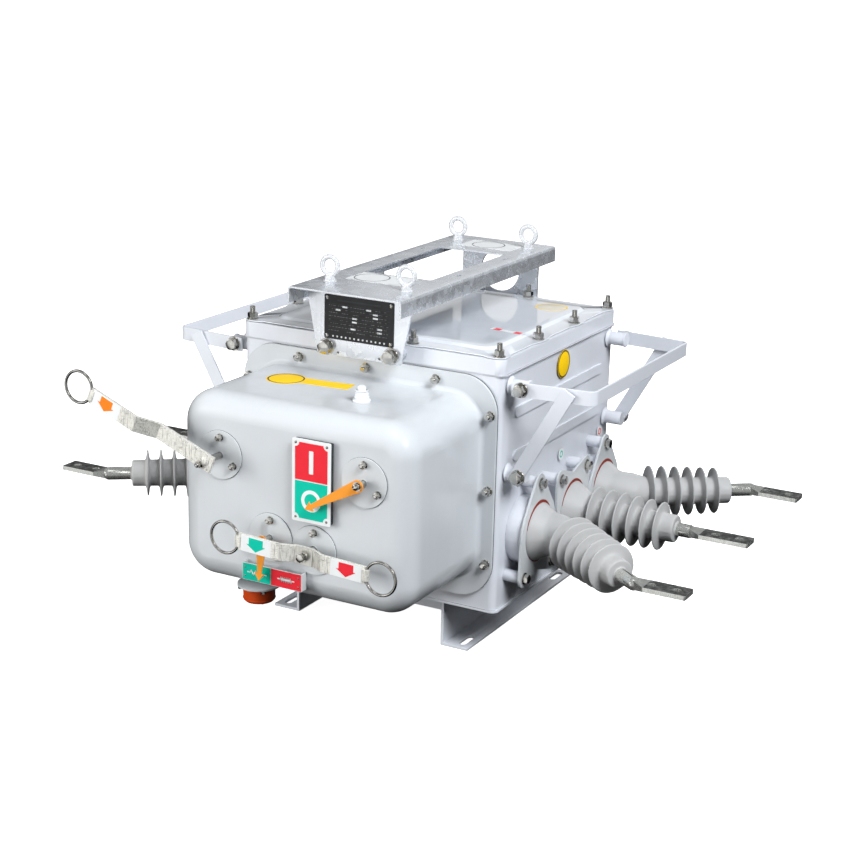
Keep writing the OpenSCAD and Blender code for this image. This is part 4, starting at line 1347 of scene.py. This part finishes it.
class BREAKER_OT_position_sign(Dressing, bpy.types.Operator):
    """Finishes the open and closed sign: two enamel panels, plain symbols and rivets"""

    bl_idname = "breaker.position_sign"
    bl_label = "Position sign"

    def make(self, s):
        dress("position_sign", "sign_white", 0.5 * MM)
        dress("sign_backing", "backing_dark", 0.8 * MM)
        low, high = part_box("position_sign")
        centre = middle((low, high))
        margin, gap, notch = 6.5 * MM, 2 * MM, 9 * MM
        wide = high.x - low.x - 2 * margin
        tall = (high.z - low.z - 2 * margin - gap) / 2
        bar = panel(9 * MM, 44 * MM, 1.2 * MM, 3, s.label_t * 1.6)
        ring = ring_plate(21 * MM, 14 * MM, s.label_t * 1.6)
        films = []
        for up, ink, mark in ((1, "sign_red", bar), (-1, "sign_green", ring)):
            where = on_front(centre.x, low.y, centre.z + up * (tall + gap) / 2)
            field = plate(notched(wide, tall, notch, up > 0), s.label_t)
            films += [(field, where, ink), (mark, where, "sign_white")]
        stick("position_panels", *films, *corner_rivets((low, high), 8 * MM, 2.6 * MM, 1.4 * MM))


class BREAKER_OT_charge_sign(Dressing, bpy.types.Operator):
    """Finishes the spring charge sign: green and red halves with a spring drawn on each"""

    bl_idname = "breaker.charge_sign"
    bl_label = "Charge sign"

    def make(self, s):
        dress("charge_sign", "sign_white", 0.4 * MM)
        low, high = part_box("charge_sign")
        z, margin, tail = middle((low, high)).z, 0.8 * MM, 1 * MM
        split = low.x + (high.x - low.x - tail) * 0.49
        films = []
        for start, end, ink, turns, long in (
            (low.x + margin, split, "sign_green", 3, 30 * MM),
            (split, high.x - tail, "sign_red", 6, 24 * MM),
        ):
            where = on_front((start + end) / 2, low.y, z)
            field = panel(end - start, high.z - low.z - 2 * margin, 0.6 * MM, 3, s.label_t)
            spring = spring_mark(long, 9 * MM, turns, s.label_t * 1.6)
            films += [(field, where, ink), (spring, where, "sign_white")]
        head = rivet(2 * MM, 1.2 * MM)
        for x in (low.x + 6 * MM, high.x - tail - 6 * MM):
            films += [(head, on_front(x, low.y, z + up), "bright_steel") for up in (-9 * MM, 9 * MM)]
        stick("charge_panels", *films)


class BREAKER_OT_socket(Dressing, bpy.types.Operator):
    """Finishes the control socket under the cover and the vent plug on top of it"""

    bl_idname = "breaker.socket"
    bl_label = "Control socket and vent"

    def make(self, s):
        dress("socket_flange", "plate_paint", 1 * MM)
        dress("socket_cap", "cap_orange", 2.5 * MM)
        dress("vent_plug", "vent_white", 0.8 * MM)
        flange, cap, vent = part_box("socket_flange"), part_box("socket_cap"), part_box("vent_plug")
        centre = middle(flange)

        def under(radius, a, z, spin=0.0):
            x, y = polar(radius, a)
            return facing((centre.x + x, centre.y + y, z), -UP, spin)

        reach = (flange[1].x - flange[0].x) / 2 - 5 * MM
        places = [under(reach, a, flange[0].z, k) for k, a in enumerate(around(4, math.pi / 4))]
        screw = nut_on_stud(8 * MM, 7 * MM)
        solid("socket_screws", "bright_steel", [place(screw, spot) for spot in places])
        radius = (cap[1].x - cap[0].x) / 2
        levels = ((cap[1].z - 3 * MM, 1.6), (cap[1].z - 8 * MM, 1.2), (cap[0].z + 6 * MM, 0.8))
        ribs = [hoop(centre, radius - 0.4 * MM, z, bar * MM, 64, 10) for z, bar in levels]
        head = rivet(2.6 * MM, 0.8 * MM)
        ribs += [place(head, under(radius - 6 * MM, a, cap[0].z)) for a in around(6, 0.3)]
        solid("socket_cap_ribs", "cap_orange", ribs)
        turns = []
        for up, share in ((0.3, 0.78), (0.5, 0.73), (0.7, 0.68)):
            radius = (vent[1].x - vent[0].x) / 2 * share
            z = vent[0].z + up * (vent[1].z - vent[0].z)
            turns.append(hoop(middle(vent), radius, z, 1.1 * MM, 40, 8))
        solid("vent_rings", "vent_white", turns)


class BREAKER_OT_lifting_frame(Dressing, bpy.types.Operator):
    """Makes the folded lifting frame with its window and slots, and bolts its hangers"""

    bl_idname = "breaker.lifting_frame"
    bl_label = "Lifting frame"

    def make(self, s):
        low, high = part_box("top_frame")
        wide = high.x - low.x - 2 * s.window_side
        front, back = low.y + s.window_front, high.y - s.window_back
        window = panel(wide, back - front, 5 * MM, 5, 60 * MM)
        cutters = [place(window, shift(0, (front + back) / 2, high.z - 40 * MM))]
        slot = plate(slot_outline(17 * MM, 7.5 * MM), 30 * MM)
        for x in (-99 * MM, 99 * MM):
            for y in (-88 * MM, 120 * MM):
                cutters.append(place(slot, on_top(x, y, high.z - 15 * MM, 90)))
        sheet = cut(self.channel(s, low, high), *cutters)
        solid("frame_sheet", "galvanised", [sheet], smooth=38, bevel=0.6 * MM, node="top_frame")
        dress("front_hanger", "galvanised", s.edge_r)
        dress("back_hanger", "galvanised", s.edge_r)
        self.bolts(s)
        self.labels(s, high)

    def channel(self, s, low, high):
        """The sheet's section, folded down along both sides, drawn out along Y."""
        def half(side, inset):
            bend = [polar(s.frame_bend - inset, math.pi / 2 * (1 - t)) for t in shares(6)]
            bend = [(high.x - s.frame_bend + x, high.z - s.frame_bend + z) for x, z in bend]
            return [(side * x, z) for x, z in bend + [(high.x - inset, low.z)]]

        section = half(-1, 0)[::-1] + half(1, 0)
        section += half(1, s.frame_sheet)[::-1] + half(-1, s.frame_sheet)
        return skin([[Vector((x, y, z)) for x, z in section] for y in (low.y, high.y)])

    def bolts(self, s):
        """Bolts through both hangers, and two small holes in the front one, each a ring round a dark
        disc of painted shade.
        """
        z = middle(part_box("tank_rim")).z
        away = 50 * MM
        heads = []
        for x in (-72 * MM, 72 * MM):
            for name, out, twist in (("front_hanger", -1, 9), ("back_hanger", 1, 7)):
                start = (x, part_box(name)[out > 0].y + out * away, z)
                face = seat(name, start, (0, -out, 0))
                where = facing((x, face.y, z), (0, out, 0), x * twist)
                heads.append(place(bolt(s.hanger_bolt), where))
        solid("hanger_bolts", "bright_steel", heads)
        eyelet = ring_plate(3.6 * MM, 2.3 * MM, 0.5 * MM, 24)
        # The dark disc inside each eyelet is painted shade that stands for the open hole.
        well = lathe(mm((2.4, 0.02), (2.4, 0.12)), 24)
        z -= 9 * MM
        holes = []
        for x in (-46 * MM, 46 * MM):
            face = seat("front_hanger", (x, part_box("front_hanger")[0].y - away, z), (0, 1, 0))
            where = on_front(x, face.y, z)
            holes += [(place(well, where), "label_ink"), (place(eyelet, where), "galvanised")]
        build("hanger_holes", "breaker", "galvanised", holes)

    def labels(self, s, high):
        """Two white labels with a plain grey ring each."""
        film = panel(124 * MM, 74 * MM, 2 * MM, 3, s.label_t)
        ring = ring_plate(36 * MM, 34 * MM, s.label_t * 1.4, 64)
        films = []
        for x, y, ring_x in mm((-8, -206, -22), (8, 240, -8)):
            where = shift(x, y, high.z)
            films += [(film, where, "sign_white"), (ring, where @ shift(ring_x), "backing_dark")]
        stick("frame_labels", *films)


class BREAKER_OT_nameplate(Dressing, bpy.types.Operator):
    """Finishes the blank nameplate: engraved rules, empty fields and rivets"""

    bl_idname = "breaker.nameplate"
    bl_label = "Nameplate"

    def make(self, s):
        dress("nameplate", "nameplate_black", 0.3 * MM)
        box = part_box("nameplate")
        centre = middle(box)
        wide, tall = box[1].x - box[0].x, box[1].z - box[0].z
        rows, pitch, rule, film = 8, 7 * MM, 0.63 * MM, 0.12 * MM
        top = tall / 2 - 17 * MM
        parts = []

        def mark(x, z, w, h, material):
            shape = panel(w, h, min(w, h) * 0.2, 2, film)
            parts.append((place(shape, on_front(centre.x + x, box[0].y, centre.z + z)), material))

        for k in range(rows):
            mark(0, top - k * pitch, wide - 16 * MM, rule, "backing_dark")
        for x in (-0.12, 0.18, 0.4):
            mark(x * wide, top - (rows - 1) * pitch / 2, rule, (rows - 1) * pitch, "backing_dark")
        mark(0, tall / 2 - 9.5 * MM, wide * 0.62, 3.4 * MM, "backing_dark")
        fields = ((-0.2, 0.6), (-0.3, 1.6), (0.24, 1.6), (0.24, 2.6), (-0.06, 3.5), (-0.06, 4.5))
        fields += ((0.3, 5.5), (-0.08, 6.5), (0.3, 6.5), (0.14, 0.6))
        for x, row in fields:
            mark(x * wide, top - row * pitch, 11 * MM, 3.2 * MM, "vent_white")
        for k in range(13):
            x = (k / 12 - 0.5) * wide * 0.74
            mark(x, -tall / 2 + 6 * MM, 3.4 * MM, 3.4 * MM, "plate_paint")
        chance = random.Random(7)
        for row in range(rows):
            x = -wide / 2 + 10 * MM
            while x < wide / 2 - 14 * MM:
                long = chance.uniform(1.5, 5) * MM
                if chance.random() < 0.75:
                    z = top - (row + 0.5) * pitch
                    mark(x + long / 2, z, long, 1.1 * MM, "engraved_line")
                x += long + chance.uniform(1.2, 3.5) * MM
        for head, where, steel in corner_rivets(box, 6 * MM, 4 * MM, 1.5 * MM):
            parts.append((place(head, where), steel))
        build("nameplate_fields", "breaker", "nameplate_black", parts)


class BREAKER_OT_eye_bolts(Dressing, bpy.types.Operator):
    """Finishes the eye bolts, with a washer above and a nut below the frame for each"""

    bl_idname = "breaker.eye_bolts"
    bl_label = "Eye bolts"

    def make(self, s):
        dress("eye_bolts", "eye_zinc", 0.8 * MM)
        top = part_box("top_frame")[1].z
        nuts = []
        for k, box in enumerate(islands("eye_bolts")):
            at = middle(box)
            under = facing((at.x, at.y, top - s.frame_sheet), -UP, k)
            nuts.append(place(nut_on_stud(17 * MM, 16 * MM), under))
            nuts.append(place(flat_washer(13 * MM, 1.2 * MM), facing((at.x, at.y, top), UP)))
        solid("eye_bolt_nuts", "eye_zinc", nuts)


class BREAKER_OT_guards(Dressing, bpy.types.Operator):
    """Paints the bar guards and bolts them to their studs"""

    bl_idname = "breaker.guards"
    bl_label = "Guards"

    def make(self, s):
        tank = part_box("tank_body")[1]
        for name, side in SIDES:
            rail, braces, studs = (f"{name}_guard_{part}" for part in ("rail", "braces", "studs"))
            dress(rail, "housing_paint", s.edge_r)
            dress(braces, "housing_paint", s.edge_r)
            dress(studs, "housing_paint", 1 * MM)
            heads, flares = [], []
            for k, box in enumerate(islands(studs)):
                at = middle(box)
                out = math.copysign(1, at.y)
                high = at.z > tank.z - 60 * MM
                start = (side * (tank.x + 30 * MM), at.y + out * 120 * MM, at.z)
                face = seat(rail if high else braces, start, (0, -out, 0))
                heads.append(place(bolt(s.guard_bolt), facing(face, (0, out, 0), k * 0.5)))
                lip, root = self.flares((box[1].z - box[0].z) / 2)
                if high:
                    tip = box[1].x if side > 0 else box[0].x
                    where = facing((tip - side * 3.6 * MM, at.y, at.z), (side, 0, 0))
                    flares.append(place(lip, where))
                flares.append(place(root, facing((side * tank.x, at.y, at.z), (side, 0, 0))))
            solid(f"{name}_guard_bolts", "bright_steel", heads)
            solid(f"{name}_stud_collars", "housing_paint", flares)

    def flares(self, r):
        """The spread end of a stud, and the weld at its root."""
        ends = mm((0, 0), (1.6, 0.4), (1.8, 3), (0.4, 4), (-2, 4))
        welds = mm((5, 0), (2.2, 1.2), (0.6, 3.5), (0, 5.5))
        return [lathe([(r + out, z) for out, z in profile], 40) for profile in (ends, welds)]


class BREAKER_OT_bushings(Dressing, bpy.types.Operator):
    """Makes the moulded insulators, and finishes their turrets, flange plates and terminals"""

    bl_idname = "breaker.bushings"
    bl_label = "Bushings"
    sheds = 6
    core_fall = 0.3 * MM
    hidden = 5 * MM
    turret_wide, boss_wide = 100 * MM, 50 * MM
    # Half section of a shed: along the core, and out from it or in from the rim.
    shed_foot = ((-7, 0), (-5.4, 1), (-4, 4.5))
    shed_rim = ((-2.9, 9), (-1.9, 2.5), (-1.1, 0.5), (0.1, 0), (1.1, 0.5), (1.6, 2.5), (2.3, 9))
    shed_back = ((3.6, 4.5), (5, 1), (6.6, 0))

    def make(self, s):
        face_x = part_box("right_flange_plates")[1].x
        for name, side in SIDES:
            dress(f"{name}_turrets", "housing_paint", 0.8 * MM)
            dress(f"{name}_flange_plates", "plate_paint", 0.8 * MM)
            dress(f"{name}_terminals", "tinned_copper", 0.7 * MM)
            boxes = islands(f"{name}_turrets")
            turrets = [b for b in boxes if b[1].y - b[0].y > self.turret_wide]
            bosses = [b for b in boxes if b[1].y - b[0].y < self.boss_wide]
            heads = []
            for k, boss in enumerate(bosses):
                at = (side * face_x, middle(boss).y, middle(boss).z)
                heads.append(place(bolt(s.ear_bolt), facing(at, (side, 0, 0), 0.7 * k)))
            solid(f"{name}_bushing_bolts", "bright_steel", heads)
            self.insulators(s, name, side, side * face_x, turrets)

    def insulators(self, s, name, side, face, turrets):
        """The moulded bodies of one side, with their gaskets and the sealant at their ends."""
        bodies, gaskets, sealant = [], [], []
        gasket = ring_plate(s.root_r + 3.4 * MM, s.root_r - 4 * MM, 0.9 * MM, 72)
        blob = lathe(mm((16, -0.5), (15.4, 1.2), (13.6, 2.6), (11.2, 4.4)), 36)
        seated = shift(0.1 * MM, 0, 2 * MM) @ Matrix.Diagonal((1, 0.92, 1, 1))
        for turret in turrets:
            at = middle(turret)
            lean = 0 if abs(at.y) < 1 * MM else math.copysign(1, at.y)
            where = shift(face, at.y, at.z) @ Matrix.Diagonal((side, 1, 1, 1))
            rings, end, heading = self.rings(s, lean)
            bodies.append(place(skin(rings), where))
            gaskets.append(place(gasket, where @ seated @ facing((0, 0, 0), (1, 0, 0))))
            sealant.append(place(blob, where @ facing(end, heading)))
        made = f"{name}_insulators"
        solid(f"{name}_silicone", "silicone_grey", bodies, smooth=50, node=made)
        solid(f"{name}_gaskets", "backing_dark", gaskets, "gasket_red")
        solid(f"{name}_sealant", "silicone_grey", sealant)

    def rings(self, s, lean):
        """Rings of an insulator along +X from its flange, leaning towards +Y or -Y."""
        straight, arc, first = s.root_mid, 0.0, s.root_mid
        marks = [(0, s.root_r), (first, s.core_r)]
        if lean:
            arc_half = s.elbow_bend * math.tan(s.fan / 2)
            straight = s.elbow_at - arc_half
            arc = s.elbow_bend * s.fan
            first = straight + arc + s.elbow_to_shed - arc_half
            marks[1:] = [
                (straight, s.neck_r),
                (straight + arc, s.neck_r - 3 * MM),
                (first, s.core_r),
            ]
        stations = []
        for t in shares(26):
            run = (first + self.hidden - 8 * MM) * t - self.hidden
            stations.append((run, self.root_radius(run, marks)))
        for k in range(self.sheds):
            x, rim = first + k * s.shed_gap, s.shed_r - k * s.shed_fall
            core = s.core_r - k * self.core_fall
            stations += [(x + dx, core + up) for dx, up in mm(*self.shed_foot)]
            stations += [(x + dx, rim - down) for dx, down in mm(*self.shed_rim)]
            stations += [(x + dx, core + up) for dx, up in mm(*self.shed_back)]
        last, core = first + (self.sheds - 1) * s.shed_gap, s.core_r - 1.6 * MM
        ends = mm((19, 0), (29.5, -0.2), (31.6, -0.8), (32.7, -2.2), (33, -4))
        stations += [(last + dx, core + out) for dx, out in ends]
        rings = [self.ring(s, run, radius, straight, arc, lean) for run, radius in stations]
        return (rings,) + self.track(s, last + s.end_l, straight, arc, lean)

    def root_radius(self, run, marks):
        """The radius after a run along the root, between the marks on either side."""
        if run <= 0:
            return marks[0][1]
        for (a, ra), (b, rb) in zip(marks, marks[1:]):
            if run <= b:
                return ra + (rb - ra) * (run - a) / (b - a)
        return marks[-1][1]

    def track(self, s, run, straight, arc, lean):
        """The point and heading after a run along the bushing's middle line."""
        if not lean or run <= straight:
            return Vector((run, 0, 0)), Vector((1, 0, 0))
        a = min(s.fan, (run - straight) / s.elbow_bend)
        x = straight + s.elbow_bend * math.sin(a)
        y = s.elbow_bend * (1 - math.cos(a))
        heading = Vector((math.cos(a), lean * math.sin(a), 0))
        return Vector((x, lean * y, 0)) + heading * max(0.0, run - straight - arc), heading

    def ring(self, s, run, radius, straight, arc, lean, n=64):
        """One ring of an insulator, with the mould's parting line on both sides."""
        centre, heading = self.track(s, run, straight, arc, lean)
        side = UP.cross(heading)
        loop = []
        for k, a in enumerate(around(n)):
            x, z = polar(radius + (0.5 * MM if k in (0, n // 2) else 0.0), a)
            loop.append(centre + x * side + z * UP)
        return loop


class BREAKER_OT_stage(Dressing, bpy.types.Operator):
    """Sets the floor, the lights and the camera"""

    bl_idname = "breaker.stage"
    bl_label = "Stage"

    def make(self, s):
        scene = bpy.context.scene
        scene.view_settings.view_transform = "Standard"
        self.floor(scene)
        self.air(scene)
        self.lights(scene)
        self.camera(scene)

    def floor(self, scene):
        """A wide flat floor in matt white."""
        mesh = bpy.data.meshes.new("floor")
        mesh.from_pydata([tuple(p) for p in circle(FLOOR_R, 0, 96)], [], [tuple(range(96))])
        material = bpy.data.materials.new("studio_floor")
        material.use_nodes = True
        shader = material.node_tree.nodes["Principled BSDF"]
        shader.inputs["Base Color"].default_value = (0.88, 0.88, 0.885, 1)
        shader.inputs["Roughness"].default_value = 0.8
        shader.inputs["Emission Color"].default_value = (1, 1, 1, 1)
        shader.inputs["Emission Strength"].default_value = 0.93
        mesh.materials.append(material)
        floor = bpy.data.objects.new("floor", mesh)
        floor.visible_diffuse = floor.visible_glossy = False
        scene.collection.objects.link(floor)

    def lights(self, scene):
        """Soft boxes around the breaker."""
        aim = Vector((0, -0.1, 0.35))
        for name, right, above, wide, power, tint in LAMPS:
            away = toward(right, above)
            lamp = bpy.data.lights.new(name, "AREA")
            lamp.size, lamp.energy, lamp.color = wide, power, tint
            piece = bpy.data.objects.new(name, lamp)
            piece.location = aim + away * LAMP_REACH
            piece.rotation_euler = away.to_track_quat("Z", "Y").to_euler()
            piece.visible_glossy = False
            scene.collection.objects.link(piece)

    def air(self, scene):
        """White to the eye, a soft grey to the paint, and brighter with a dark foot to what shines."""
        world = bpy.data.worlds.new("studio_air")
        world.use_nodes = True
        tree = world.node_tree
        direction = node(tree, "TexCoord").outputs["Generated"]
        height = node(tree, "SeparateXYZ", {0: direction}).outputs["Z"]

        def along(heading):
            aimed = {0: direction, 1: tuple(heading)}
            return node(tree, "VectorMath", aimed, operation="DOT_PRODUCT").outputs["Value"]

        frontal = along((0.5, -0.86, 0.1))
        path = node(tree, "LightPath").outputs

        def shade(tilt, low, high, floor, strength):
            lifted = maths(tree, "ADD", height, maths(tree, "MULTIPLY", frontal, tilt))
            share = remap(tree, lifted, low, high, floor, 1.0)
            return scaled(tree, (0.96 * strength, 0.98 * strength, strength), share)

        soft = shade(tilt=0.5, low=-0.05, high=0.45, floor=0.0, strength=0.1)
        mirrored = shade(tilt=0.3, low=-0.3, high=-0.05, floor=0.02, strength=0.3)
        for right, above, wide, bright in REFLECTED_CARDS:
            near = along(toward(right, above))
            edge, core = (math.cos(math.radians(wide * k)) for k in (1.0, 0.6))
            glow = remap(tree, near, edge, core, 0.0, bright)
            mirrored = node(tree, "VectorMath", {0: mirrored, 1: glow}, operation="ADD").outputs[0]
        shown = mix(tree, path["Is Glossy Ray"], soft, mirrored)
        shown = mix(tree, path["Is Camera Ray"], shown, (1.1, 1.1, 1.1, 1))
        sky = tree.nodes["Background"]
        tree.links.new(shown, sky.inputs["Color"])
        sky.inputs["Strength"].default_value = 1.0
        scene.world = world

    def camera(self, scene):
        """A long lens, to the right of the front and a little above."""
        lens = bpy.data.cameras.new("camera")
        lens.lens = 75.36837
        lens.sensor_width = 36.0
        lens.clip_end = 60.0
        camera = bpy.data.objects.new("camera", lens)
        camera.location = (1.7261927, -3.2289694, 1.4407777)
        camera.rotation_euler = [math.radians(a) for a in (73.43106484, -1.45470939, 28.48625773)]
        scene.collection.objects.link(camera)
        scene.camera = camera


OPERATORS = (
    BREAKER_OT_tank,
    BREAKER_OT_lid,
    BREAKER_OT_cover,
    BREAKER_OT_bearings,
    BREAKER_OT_charging_handle,
    BREAKER_OT_switch_handle,
    BREAKER_OT_pointers,
    BREAKER_OT_position_sign,
    BREAKER_OT_charge_sign,
    BREAKER_OT_socket,
    BREAKER_OT_lifting_frame,
    BREAKER_OT_nameplate,
    BREAKER_OT_eye_bolts,
    BREAKER_OT_guards,
    BREAKER_OT_bushings,
    BREAKER_OT_stage,
)


class BREAKER_PT_pieces(bpy.types.Panel):
    """Lists the breaker's pieces, sizes and colours"""

    bl_idname = "BREAKER_PT_pieces"
    bl_label = "Vacuum circuit breaker"
    bl_space_type = "VIEW_3D"
    bl_region_type = "UI"
    bl_category = "Breaker"

    def draw(self, context):
        column = self.layout.column(align=True)
        for operator in OPERATORS:
            column.operator(operator.bl_idname)
        for group in (context.scene.breaker_sizes, context.scene.breaker_colours):
            box = self.layout.box()
            for name in group.bl_rna.properties.keys():
                if name not in ("rna_type", "name"):
                    box.prop(group, name)


CLASSES = (BreakerSizes, BreakerColours) + OPERATORS + (BREAKER_PT_pieces,)


def register():
    for cls in CLASSES:
        bpy.utils.register_class(cls)
    bpy.types.Scene.breaker_sizes = PointerProperty(type=BreakerSizes)
    bpy.types.Scene.breaker_colours = PointerProperty(type=BreakerColours)


def unregister():
    del bpy.types.Scene.breaker_colours
    del bpy.types.Scene.breaker_sizes
    for cls in reversed(CLASSES):
        bpy.utils.unregister_class(cls)


def main():
    register()
    for operator in OPERATORS:
        group, name = operator.bl_idname.split(".")
        getattr(getattr(bpy.ops, group), name)()


if __name__ == "__main__":
    main()
